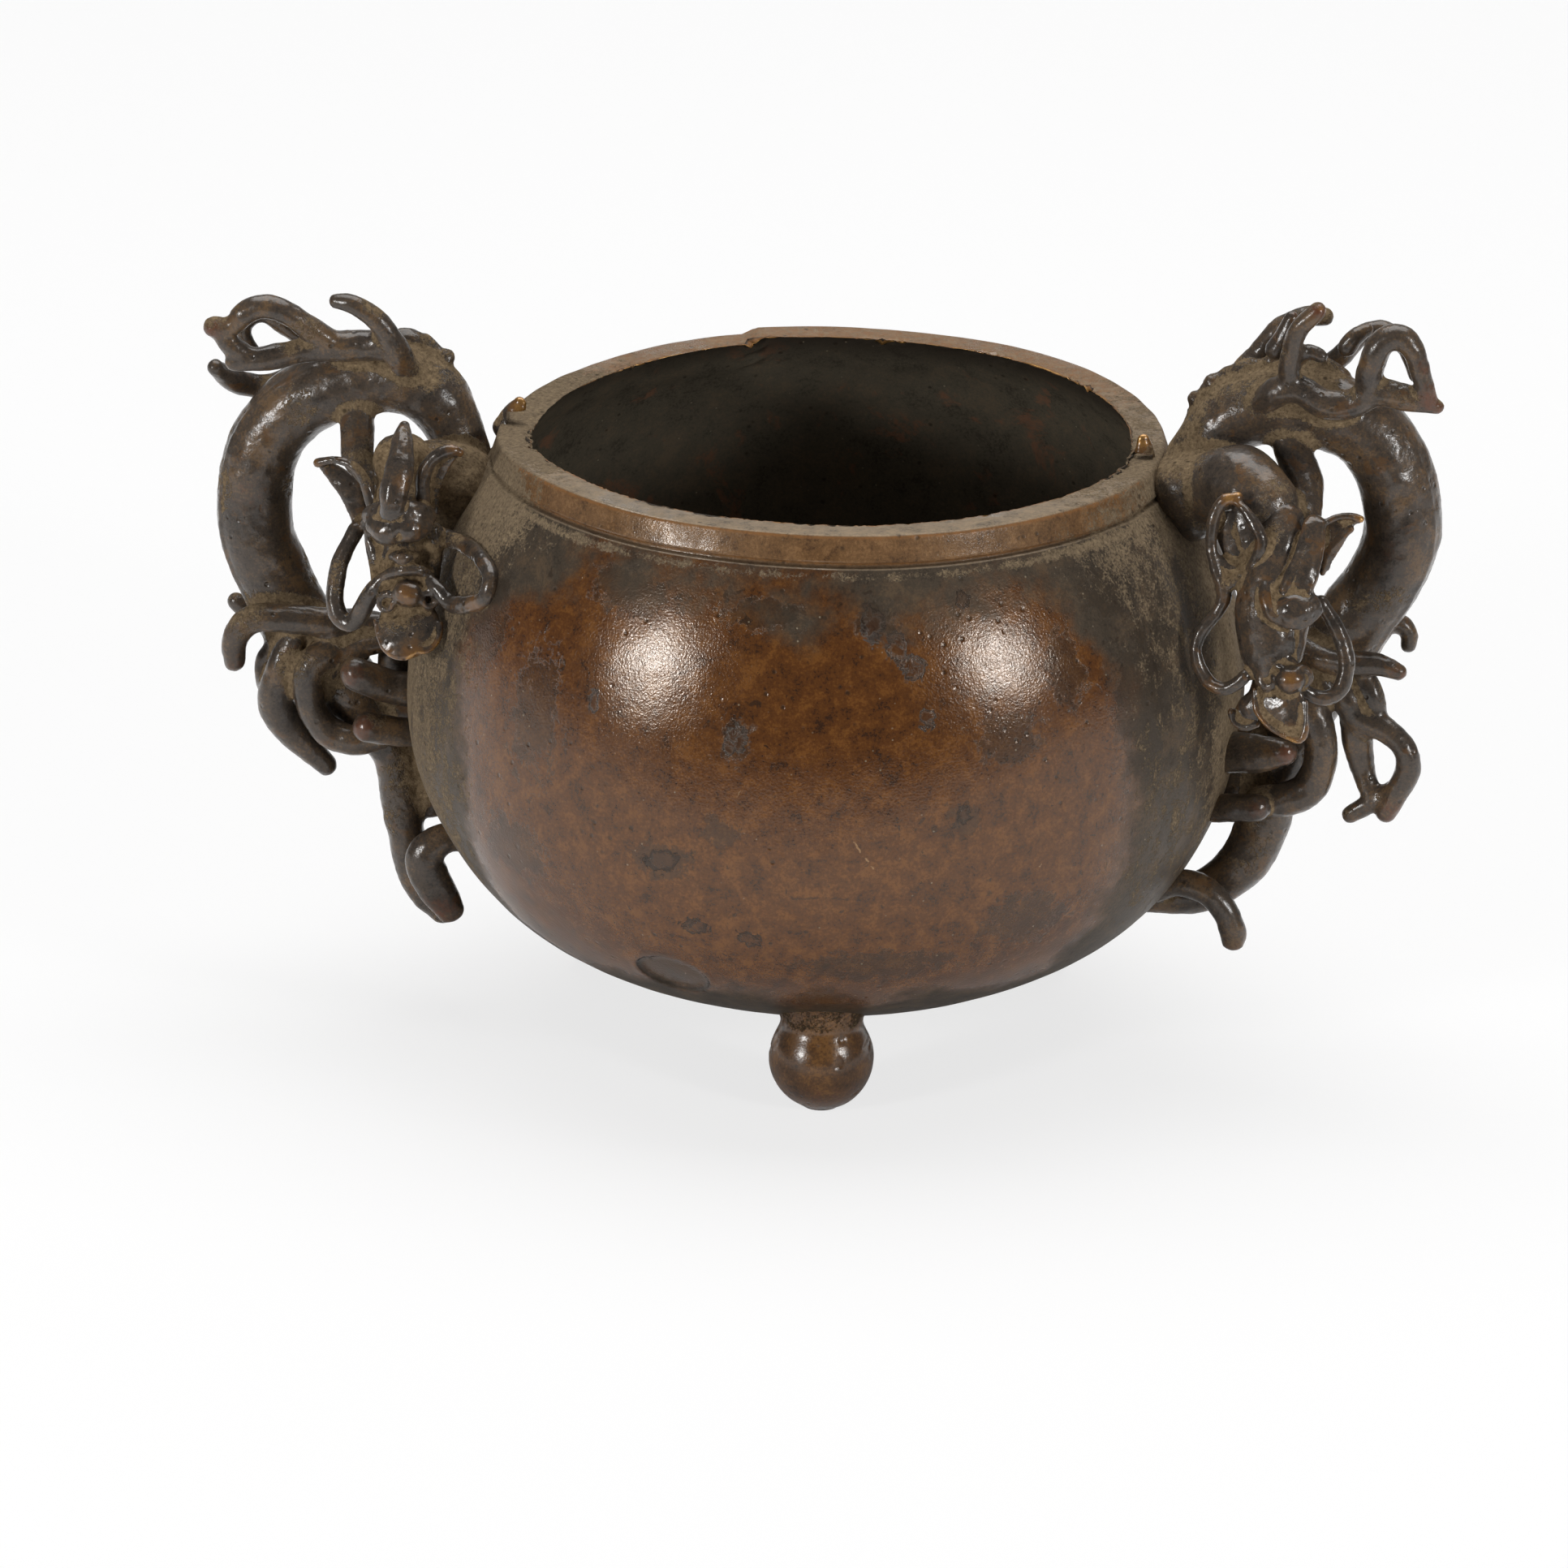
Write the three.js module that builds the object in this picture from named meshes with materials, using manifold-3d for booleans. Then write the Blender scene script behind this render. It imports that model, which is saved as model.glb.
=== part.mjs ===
// Bronze incense burner: a round-bellied bowl on three ball feet, with a coiled dragon at each side
// as a handle. Millimetres, +Z up. The floor is Z 0 and the bowl stands on the Z axis. The handles
// lie along X, and both dragons turn their heads to the front, which is -Y.

import * as THREE from 'three';
import { mergeVertices } from 'three/addons/utils/BufferGeometryUtils.js';
import Module from 'manifold-3d';

const wasm = await Module();
wasm.setup();

// The bowl. Its belly and shoulder are superellipses, and their fullness is the power in each
const bowlRadius = 82.5;
const bellyDepth = 56.3;
const bellyFullness = 2.17;
const shoulderFullness = 2.3;
const wallThickness = 4.5;
const bowlSegments = 44;

// The rim: a thick band with rounded edges that stands on the shoulder over a shallow groove
const rimRise = 61;
const rimInset = 13.9;
const rimWidth = 9;
const bandHeight = 4.2;
const rimRounding = 1.4;
const lipRounding = 0.6;
const lipDepth = 5;
const lipSlope = 6;
const grooveDepth = 0.5;
const grooveHeight = 0.8;

// The feet
const underside = 9.2;
const ballRadius = 10.7;
const flatDepth = 0.5;
const footInset = 31.5;
const footTurn = 8;
const footNeckRadius = 8.2;
const footFlare = 1.5;

// The bare oval on the lower bowl
const sealTurn = -17.3;
const sealUp = -32.5;
const sealHalfWidth = 8;
const sealHalfHeight = 6;
const sealDepth = 0.9;

// Bronze coils that the dragons are made of: radii of their round sections
const coil = 7.8;
const neckCoil = 7.2;
const limb = 3.1;
const toe = 2.6;
const wire = 1.75;

// How far below the rim's top the roots of the dragons' bodies lie
const leftRootDrop = 17;
const rightRootDrop = 10;

// How deep the roots of the coils and of the toes reach into the bowl before they are cut to its wall
const rootSink = 3;
const toeSink = 1.5;

// Pointed tangs of the handles' casting on the rim
const tangRadius = 2.8;
const tangTurn = 4;
const leftTangHeight = 4.4;
const rightTangHeight = 5;

// The seam that every seated piece keeps to its neighbour
const seam = 0.3;

// Rings along a bar of radius 1 are this far apart. The spacing grows with the root of the radius.
const ringPitch = 2.5;
const fewestRings = 4;

// Facets of the curved outlines and of the round pieces
const bellySteps = 8;
const shoulderSteps = 4;
const hollowSteps = 5;
const ballSteps = 5;
const footSegments = 16;
const sealSegments = 24;

const bronze = { body: 0x4a3320, dragon: 0x3a3027, bright: 0x5a4630, foot: 0x3b2417 };

const degree = Math.PI / 180;
const quarter = Math.PI / 2;
const equatorHeight = underside + bellyDepth;
const rimRadius = bowlRadius - rimInset;
const mouthRadius = rimRadius - rimWidth;
const bandFoot = rimRise - bandHeight;
const footCircle = bowlRadius - footInset;

// The shoulder would close at this height if it ran on past the groove under the rim's band
const shoulderShare = ((rimRadius - grooveDepth) / bowlRadius) ** shoulderFullness;
const shoulderRise = bandFoot / (1 - shoulderShare) ** (1 / shoulderFullness);

// Outer radius of the bowl at a height above the equator
function bellyRadius(up) {
  const reach = up < 0 ? bellyDepth : shoulderRise;
  const power = up < 0 ? bellyFullness : shoulderFullness;
  const part = Math.min(Math.abs(up) / reach, 1);
  return bowlRadius * (1 - part ** power) ** (1 / power);
}

// Height of the bowl's underside over its equator, below zero, at a distance from the axis
function bellyUp(radius) {
  const part = Math.min(radius / bowlRadius, 1);
  return -bellyDepth * (1 - part ** bellyFullness) ** (1 / bellyFullness);
}

// How far out the bowl's wall lies, from its widest radius, at a place forward of the handle's plane
function wall(forward, up) {
  return Math.sqrt(bellyRadius(up) ** 2 - forward ** 2) - bowlRadius;
}

// How far forward the bowl's wall lies at a place along the handle
function front(out, up) {
  return Math.sqrt(bellyRadius(up) ** 2 - (bowlRadius + out) ** 2);
}

// A geometry as a closed manifold solid, with its faces pointing out
function solidOf(geometry) {
  const bare = geometry.clone();
  bare.deleteAttribute('normal');
  bare.deleteAttribute('uv');
  const merged = mergeVertices(bare, 1e-4);
  const vertices = merged.attributes.position.array;
  const corners = [];
  let volume = 0;
  const a = new THREE.Vector3();
  const b = new THREE.Vector3();
  const c = new THREE.Vector3();
  for (let i = 0; i < merged.index.count; i += 3) {
    const [p, q, r] = [0, 1, 2].map((k) => merged.index.getX(i + k));
    if (p === q || q === r || r === p) continue;
    corners.push(p, q, r);
    a.fromArray(vertices, 3 * p);
    b.fromArray(vertices, 3 * q);
    c.fromArray(vertices, 3 * r);
    volume += a.dot(b.cross(c));
  }
  if (volume < 0) corners.reverse();
  return new wasm.Manifold(new wasm.Mesh({
    numProp: 3,
    vertProperties: new Float32Array(vertices),
    triVerts: new Uint32Array(corners),
  }));
}

// The largest connected body of a solid as a geometry: a cut can leave a crumb on its far side
function largestBody(solid) {
  const mesh = solid.getMesh();
  const leader = Array.from({ length: mesh.numVert }, (_, i) => i);
  const find = (i) => {
    while (leader[i] !== i) i = leader[i] = leader[leader[i]];
    return i;
  };
  for (let i = 0; i < mesh.triVerts.length; i += 3) {
    leader[find(mesh.triVerts[i])] = find(mesh.triVerts[i + 1]);
    leader[find(mesh.triVerts[i + 1])] = find(mesh.triVerts[i + 2]);
  }
  const bodies = new Map();
  for (let i = 0; i < mesh.triVerts.length; i += 3) {
    const root = find(mesh.triVerts[i]);
    if (!bodies.has(root)) bodies.set(root, []);
    bodies.get(root).push(...mesh.triVerts.slice(i, i + 3));
  }
  const at = (i) => new THREE.Vector3().fromArray(mesh.vertProperties, i * mesh.numProp);
  const volumeOf = (body) => {
    let sum = 0;
    for (let i = 0; i < body.length; i += 3) sum += at(body[i]).dot(at(body[i + 1]).cross(at(body[i + 2])));
    return sum;
  };
  const best = [...bodies.values()].sort((m, n) => volumeOf(n) - volumeOf(m))[0];
  const geometry = new THREE.BufferGeometry();
  const positions = new THREE.BufferAttribute(new Float32Array(mesh.vertProperties), mesh.numProp);
  geometry.setAttribute('position', positions);
  geometry.setIndex(best);
  const separate = geometry.toNonIndexed();
  separate.computeVertexNormals();
  return separate;
}

// A round bar bent along stations of [x, y, z, radius]: a capsule whose rings follow the curve.
// options.flat squeezes the section along options.thin, and options.blunt shortens the round ends.
function bar(stations, options, grow) {
  const { sides = 6, flat = 1, thin = new THREE.Vector3(0, 1, 0), blunt = 1 } = options;
  const path = new THREE.CatmullRomCurve3(stations.map(([x, y, z]) => new THREE.Vector3(x, y, z)));
  const swell = new THREE.CatmullRomCurve3(
    stations.map((station) => new THREE.Vector3(station[3], 0, 0)), false, 'catmullrom', 0.5,
  );
  const thickest = Math.max(...stations.map((station) => station[3]));
  const spacing = ringPitch * Math.sqrt(thickest);
  const rings = Math.max(Math.ceil(path.getLength() / spacing), fewestRings);
  const capsule = new THREE.CapsuleGeometry(1, rings, 2, sides, rings);
  const place = capsule.attributes.position;
  for (let i = 0; i < place.count; i += 1) {
    const along = place.getY(i);
    const inside = THREE.MathUtils.clamp(along, -rings / 2, rings / 2);
    const share = path.getUtoTmapping(inside / rings + 0.5);
    const radius = swell.getPoint(share).x;
    const tangent = path.getTangent(share);
    const narrow = thin.clone().addScaledVector(tangent, -thin.dot(tangent)).normalize();
    const wide = new THREE.Vector3().crossVectors(tangent, narrow);
    const narrowRadius = radius * flat + grow;
    const point = path.getPoint(share);
    point.addScaledVector(tangent, (along - inside) * narrowRadius * blunt);
    point.addScaledVector(wide, place.getZ(i) * (radius + grow));
    point.addScaledVector(narrow, place.getX(i) * narrowRadius);
    place.setXYZ(i, point.x, point.y, point.z);
  }
  return solidOf(capsule);
}

const model = new THREE.Group();

// Names a solid as one piece of the burner
function addPiece(name, solid, color, roughness) {
  const material = new THREE.MeshStandardMaterial({ color, roughness, metalness: 0.85 });
  const mesh = new THREE.Mesh(largestBody(solid), material);
  mesh.name = name;
  model.add(mesh);
}

// Points along a superellipse between two angles of its first quarter. A quarter turn lies on the axis.
function superellipse(radius, rise, power, from, to, steps) {
  return Array.from({ length: steps + 1 }, (_, i) => {
    const angle = from + (i / steps) * (to - from);
    const across = angle === quarter ? 0 : Math.cos(angle) ** (2 / power);
    return new THREE.Vector2(radius * across, rise * Math.sin(angle) ** (2 / power));
  });
}

// The bowl's outside from the axis below, out over the belly and up to the rim's inner edge
function outside(grow) {
  const bottom = superellipse(bowlRadius + grow, -bellyDepth - grow, bellyFullness, quarter, 0, bellySteps);
  const shoulderEnd = Math.asin((bandFoot / shoulderRise) ** (shoulderFullness / 2));
  const shoulder = superellipse(
    bowlRadius + grow, shoulderRise, shoulderFullness, 0, shoulderEnd, shoulderSteps,
  );
  return [
    ...bottom,
    ...shoulder.slice(1),
    new THREE.Vector2(rimRadius + grow - grooveDepth, bandFoot + grooveHeight),
    new THREE.Vector2(rimRadius + grow, bandFoot + grooveHeight + grooveDepth),
    new THREE.Vector2(rimRadius + grow, rimRise - rimRounding),
    new THREE.Vector2(rimRadius + grow - rimRounding, rimRise + grow),
    new THREE.Vector2(mouthRadius + lipRounding, rimRise + grow),
  ];
}

// The bowl's inside from the rim's inner edge, under the overhanging lip and down to the axis
function inside() {
  const up = rimRise - lipDepth - lipSlope;
  const radius = bowlRadius - wallThickness;
  const depth = bellyDepth - wallThickness;
  return [
    new THREE.Vector2(mouthRadius, rimRise - lipRounding),
    new THREE.Vector2(mouthRadius, rimRise - lipDepth),
    new THREE.Vector2(bellyRadius(up) - wallThickness, up),
    new THREE.Vector2(bellyRadius(up / 2) - wallThickness, up / 2),
    ...superellipse(radius, -depth, bellyFullness, 0, quarter, hollowSteps),
  ];
}

// A turned solid with its axis upright, from an outline of radius and height
function turned(outline, segments, height) {
  const lathe = new THREE.LatheGeometry(outline, segments);
  lathe.rotateX(quarter);
  lathe.translate(0, 0, height);
  return solidOf(lathe);
}

const bowlSolid = turned([...outside(0), ...inside()], bowlSegments, equatorHeight);

// The bowl filled in and grown by the seam, which cuts whatever is seated on the bowl
const seatTop = new THREE.Vector2(0, rimRise + seam);
const bowlSeat = turned([...outside(seam), seatTop], bowlSegments, equatorHeight);

// A plain shallow oval is sunk into the lower bowl, square to the wall there
function sealCutter() {
  const slope = (bellyRadius(sealUp + 1) - bellyRadius(sealUp - 1)) / 2;
  const outward = new THREE.Vector3(1, 0, -slope).normalize();
  const height = 4 * sealDepth;
  const cutter = new THREE.CylinderGeometry(1, 1, height, sealSegments);
  cutter.scale(sealHalfHeight, 1, sealHalfWidth);
  cutter.rotateX(quarter);
  cutter.rotateY(Math.atan2(outward.x, outward.z));
  const raise = height / 2 - sealDepth;
  cutter.translate(bellyRadius(sealUp) + outward.x * raise, 0, sealUp + outward.z * raise);
  cutter.rotateZ((sealTurn - 90) * degree);
  cutter.translate(0, 0, equatorHeight);
  return solidOf(cutter);
}

addPiece('bowl', bowlSolid.subtract(sealCutter()), bronze.body, 0.42);

// Each foot is a ball with a short neck that flares into the underside, and a small worn flat to stand on
function footOutline() {
  const centre = ballRadius - flatDepth;
  const start = Math.asin(-centre / ballRadius);
  const neckStart = Math.acos(footNeckRadius / ballRadius);
  const outline = [new THREE.Vector2(0, 0)];
  for (let i = 0; i <= ballSteps; i += 1) {
    const angle = start + (i / ballSteps) * (neckStart - start);
    outline.push(new THREE.Vector2(ballRadius * Math.cos(angle), centre + ballRadius * Math.sin(angle)));
  }
  const flareRadius = footNeckRadius + footFlare;
  const meets = (radius) => equatorHeight + bellyUp(footCircle + radius);
  outline.push(new THREE.Vector2(footNeckRadius, (meets(footNeckRadius) + meets(-footNeckRadius)) / 2));
  outline.push(new THREE.Vector2(flareRadius, meets(flareRadius)));
  outline.push(new THREE.Vector2(0, meets(flareRadius)));
  return outline;
}

const footNames = ['foot_front', 'foot_back_right', 'foot_back_left'];
footNames.forEach((name, i) => {
  const angle = (footTurn - 90 + 120 * i) * degree;
  const place = [footCircle * Math.cos(angle), footCircle * Math.sin(angle), 0];
  const solid = turned(footOutline(), footSegments, 0).translate(place);
  addPiece(name, solid.subtract(bowlSeat), bronze.foot, 0.4);
});

// Every dragon station is [out, forward, up, radius]: out from the bowl's widest radius along the handle,
// forward of the handle's middle plane, and up from the bowl's equator.
// side is 1 for the dragon on +X and -1 for the one on -X.
function dragonSpace(side) {
  const settle = ([out, forward, up, radius]) => (
    [side * (bowlRadius + out), -forward, equatorHeight + up, radius]
  );
  const aim = ([out, forward, up]) => new THREE.Vector3(side * out, -forward, up);
  const name = side > 0 ? 'right_dragon_' : 'left_dragon_';
  const neighbours = [bowlSeat];

  // Joins bars into one piece, cuts it to seat on the bowl and on the pieces made before it, and names it
  return function piece(part, roughness, ...bars) {
    const joined = (grow) => bars
      .map(({ stations, thin, ...options }) => (
        bar(stations.map(settle), thin ? { ...options, thin: aim(thin) } : options, grow)
      ))
      .reduce((whole, next) => whole.add(next));
    const solid = neighbours.reduce((rest, neighbour) => rest.subtract(neighbour), joined(0));
    neighbours.push(joined(seam));
    addPiece(name + part, solid, roughness < 0.4 ? bronze.bright : bronze.dragon, roughness);
  };
}

// The faces look forward and a little up. The right one is also turned towards the bowl.
const facing = [0, 1, 0.35];
const turnedFacing = [-0.35, 1, 0.35];

// The dragon on -X
function leftDragon() {
  const piece = dragonSpace(-1);
  const root = rimRise - leftRootDrop;
  piece('body', 0.5, {
    sides: 11,
    stations: [
      [wall(0, root) - rootSink, 0, root, 5],
      [-5.9, 0, 56.6, 6],
      [-1.7, 0, 63.1, 7],
      [4.5, 0, 66, 7.1],
      [12.9, 0, 65.7, coil - 0.5],
      [21.2, 0, 62.7, coil - 0.2],
      [27.9, 0, 58, coil],
      [33.3, 0, 50.1, coil],
      [35.5, 0, 40.9, coil],
      [35, 0, 31.3, coil],
      [30.4, 0, 19.8, coil + 0.2],
      [25.4, 0, 9.9, coil],
      [16.9, 0, -1.1, coil - 0.4],
      [12, 0, -7, 6.3],
    ],
  });
  piece('neck', 0.55, {
    sides: 9,
    stations: [
      [wall(4, root - 1) - rootSink, 4, root - 1, neckCoil],
      [-8.9, 9, 47.5, neckCoil + 0.2],
      [-3, 14.5, 50.5, neckCoil + 0.2],
      [0.6, 18.5, 50, neckCoil - 0.4],
    ],
  });
  piece('tail', 0.5, {
    stations: [
      [11.5, 0, -8, 5.5],
      [7.6, 0, -14.7, 4.3],
      [6.4, 0, -21.7, 4],
      [5.2, 1, -29.3, 4],
      [3.3, 2, -37.7, 4],
      [0, 4, -43.9, 3.6],
      [-3.7, 6, -46.8, 2.8],
    ],
  });
  piece('tail_web', 0.65, {
    flat: 0.3,
    stations: [
      [(wall(0, -9) + 5) / 2, 0, -9, 4],
      [(wall(0, -17) + 5) / 2, 0, -17, 4.5],
      [(wall(0, -25) + 4) / 2, 0, -25, 5],
    ],
  });
  piece('tail_tip', 0.35, {
    flat: 0.75,
    blunt: 0.5,
    thin: facing,
    stations: [
      [wall(7, -30) - toeSink, 7, -30, 2.8],
      [-5.7, 10, -29.2, 3.2],
      [-1.6, 11, -33.1, 4],
      [-3.7, 11, -39.2, 4.1],
      [-7.1, 10, -45.6, 2.9],
    ],
  });
  piece('nape_strut', 0.5, {
    stations: [
      [14.4, 1, 67.8, 3.4],
      [13.6, 5, 58, 3.4],
      [12.5, 9.5, 51.5, 3.1],
      [7, 14, 46.5, 2.8],
    ],
  });
  piece('mane', 0.65, {
    blunt: 0.4,
    stations: [
      [11.5, -2, 70.5, 2.4],
      [5.2, -2, 72.8, 3],
      [0, -2, 71.8, 3],
      [-4.2, -2, 67.6, 2.2],
    ],
  });
  piece('head', 0.45, {
    sides: 8,
    flat: 0.85,
    thin: facing,
    stations: [
      [1, 22.5, 50.5, 5.8],
      [0.6, 25.5, 46.5, 6.6],
      [0.1, 28, 41.5, 6.1],
      [-0.5, 30.5, 36.2, 5.5],
      [-1.3, 33, 31.2, 5.8],
      [-1.5, 34, 29, 5],
    ],
  });
  piece('horn', 0.35, {
    flat: 0.5,
    thin: facing,
    stations: [
      [0.7, 25, 64.6, 1],
      [0.8, 27.4, 60.1, 2.2],
      [0.8, 30, 55, 2.8],
      [0.5, 32, 50.6, 2.4],
      [0.3, 33, 47.5, 1.6],
    ],
  });
  piece('brow', 0.3, {
    flat: 0.8,
    thin: facing,
    stations: [
      [5.4, 30, 44.8, 2.2],
      [0, 33, 45.8, 3],
      [-5.2, 30, 45.6, 2.2],
    ],
  });
  piece('nose', 0.3, {
    stations: [
      [2.2, 35.5, 31, 2],
      [-2.2, 38, 33.9, 2.9],
      [-6.4, 35.5, 32, 2],
    ],
  });
  piece('upper_lip', 0.35, {
    sides: 8,
    flat: 0.32,
    thin: facing,
    blunt: 0.8,
    stations: [
      [-1.7, 35.5, 29.5, 5.2],
      [-2.1, 38, 26.1, 6.6],
      [-2.5, 40, 23, 6],
    ],
  });
  piece('lower_jaw', 0.5, {
    flat: 0.4,
    thin: facing,
    stations: [
      [-0.8, 30.5, 29.5, 4.6],
      [-1, 31.5, 24.4, 4.2],
      [-1, 32, 20.9, 3],
    ],
  });
  piece('ear_outer', 0.4, {
    flat: 0.4,
    thin: facing,
    stations: [
      [6, 25.5, 42, 2],
      [9.6, 24, 43.6, 2],
      [12.1, 23, 48.5, 3],
      [15.6, 22, 51.8, 2.5],
      [18.6, 22, 54, 1],
    ],
  });
  piece('ear_inner', 0.45, {
    flat: 0.45,
    thin: facing,
    stations: [
      [-5.4, 25, 44.4, 2.2],
      [-6.2, 23.5, 51, 3],
      [-7.8, 23, 55.8, 2.8],
      [-10.9, 24, 58.5, 1],
    ],
  });
  piece('whisker_outer', 0.35, {
    stations: [
      [9.6, 25, 43.5, wire],
      [11.7, 27, 39.9, wire],
      [14.3, 28, 35.4, wire],
      [15.1, 30, 30, wire],
      [13.7, 32, 25.2, wire],
      [10.6, 33, 23.7, wire],
      [7.9, 33, 26.3, wire],
      [5.4, 34, 31, wire],
      [2.1, 34.5, 34.6, wire],
      [-1, 34, 36.3, wire - 0.3],
    ],
  });
  piece('whisker_inner', 0.35, {
    stations: [
      [-5.5, 27, 43, wire],
      [-10, 29.5, 42.6, wire],
      [-13.7, front(-13.7, 42.8) + wire, 42.8, wire],
      [-18.2, front(-18.2, 43) + wire, 43, wire],
      [-20.8, front(-20.8, 41) + wire, 41, wire],
      [-20.2, front(-20.2, 37.6) + wire, 37.6, wire],
      [-16.2, front(-16.2, 34.2) + wire, 34.2, wire],
      [-11.3, 38, 32.4, wire],
      [-8.1, 36.5, 34.8, wire],
      [-4.5, 34, 36.4, wire - 0.3],
    ],
  });
  piece(
    'fore_paw', 0.45,
    {
      stations: [
        [3.8, 5, 70.6, limb - 0.4],
        [6.7, 5.8, 74.6, limb],
        [13.1, 5.8, 74.6, limb + 0.2],
        [19.8, 6.2, 73.8, limb],
        [25.4, 7.5, 73, toe],
        [31.2, 9, 72, toe],
        [38, 10, 71, toe - 0.6],
      ],
    },
    {
      stations: [
        [17.5, 6.5, 74.6, limb - 0.3],
        [22.5, 8, 78.8, limb - 0.3],
        [27.4, 9.5, 82.2, toe],
        [32.4, 10, 83, toe],
        [35.9, 10.5, 81.4, toe - 0.1],
        [38.2, 10.5, 78.7, toe - 0.4],
        [42, 10.5, 78.2, toe - 0.2],
      ],
    },
    {
      stations: [
        [2.6, 5.5, 70.4, 2],
        [4.7, 7, 74.6, 2.3],
        [6.9, 8.5, 79.3, 2.3],
        [10.3, 9.5, 83.2, 2.2],
        [14.2, 10, 84.9, 2],
        [17, 10, 85.1, 1.5],
      ],
    },
  );
  piece(
    'rear_fore_paw', 0.55,
    {
      stations: [
        [6, -6.5, 69, toe],
        [13, -7.5, 70, limb - 0.2],
        [21, -8, 68, limb - 0.2],
        [28, -8.5, 62.5, toe],
        [34.6, -8.5, 59.8, toe - 0.1],
        [41, -7, 60.8, toe - 0.3],
        [44, -5, 64.4, toe - 0.8],
      ],
    },
    {
      stations: [
        [19, -7.5, 68.6, toe],
        [24.5, -8.5, 70, toe - 0.3],
        [30.9, -9, 73.1, toe - 0.5],
        [36, -9, 75, toe - 0.7],
        [39.6, -9, 71.8, toe - 0.8],
        [37.5, -9.5, 66, toe - 0.9],
      ],
    },
  );
  piece('hind_paw', 0.45, {
    stations: [
      [15, 5.5, 13.6, limb],
      [20, 8.5, 15.6, limb],
      [29.3, 10.3, 16.6, limb],
      [35.1, 10.5, 15.6, limb],
      [37.8, 10.5, 11.3, limb - 0.3],
      [38, 10.5, 6.8, limb - 0.7],
    ],
  });
  piece(
    'hind_leg', 0.5,
    {
      stations: [
        [26.5, 8, 11.5, toe],
        [28.6, 9, 4.4, toe + 0.2],
        [29, 8, -2.5, limb + 0.5],
        [25.6, 6, -9.6, toe + 0.3],
        [19.4, 4.5, -16.8, toe - 0.4],
      ],
    },
    {
      stations: [
        [30.5, 5, 10, 1.7],
        [33.2, 5, 4, 1.7],
        [31, 6.5, -3, 2],
      ],
    },
  );
  piece('rear_hind_paw', 0.55, {
    stations: [
      [22, -7, 9, toe + 0.2],
      [30, -9, 9.5, toe + 0.2],
      [37.5, -9.5, 9.5, toe - 0.4],
      [41.4, -9, 12.6, toe - 0.8],
    ],
  });
  piece('thigh', 0.4, {
    stations: [
      [14, 5, 8, limb],
      [18.6, 8.6, 9.2, limb],
      [22.2, 10.3, 6.4, limb],
      [22.7, 10.3, 1.3, limb],
      [21.4, 10.3, -3.6, limb],
      [17.8, 10.3, -7.8, limb],
      [12.4, 10.3, -8.8, limb],
      [7.9, 9.5, -8.3, limb - 0.4],
    ],
  });
  piece('upper_toe', 0.35, {
    stations: [
      [wall(8, 2) - toeSink, 8, 2, limb + 0.4],
      [5.7, 11, 3.7, limb + 0.6],
      [12.1, 14.5, 7, limb + 0.5],
    ],
  });
  piece('lower_toe', 0.35, {
    stations: [
      [wall(9, -7) - toeSink, 9, -7, toe + 0.2],
      [3.8, 12, -5.9, limb],
      [9.7, 15, -4.1, limb],
    ],
  });
  piece('hooked_toe', 0.45, {
    stations: [
      [18.9, 6.5, 3.4, 1.9],
      [17.4, 8.3, 8, 2.1],
      [12.5, 8, 10.3, 2.2],
      [5, 6.5, 11.6, 2.2],
      [wall(6, 11) - toeSink, 6, 11, 2.2],
    ],
  });
  piece('wall_brace', 0.6, {
    stations: [
      [21, 5, 14.2, limb],
      [11.9, 4, 14, limb],
      [wall(2, 11) - toeSink, 2, 11, limb],
    ],
  });
}

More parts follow.
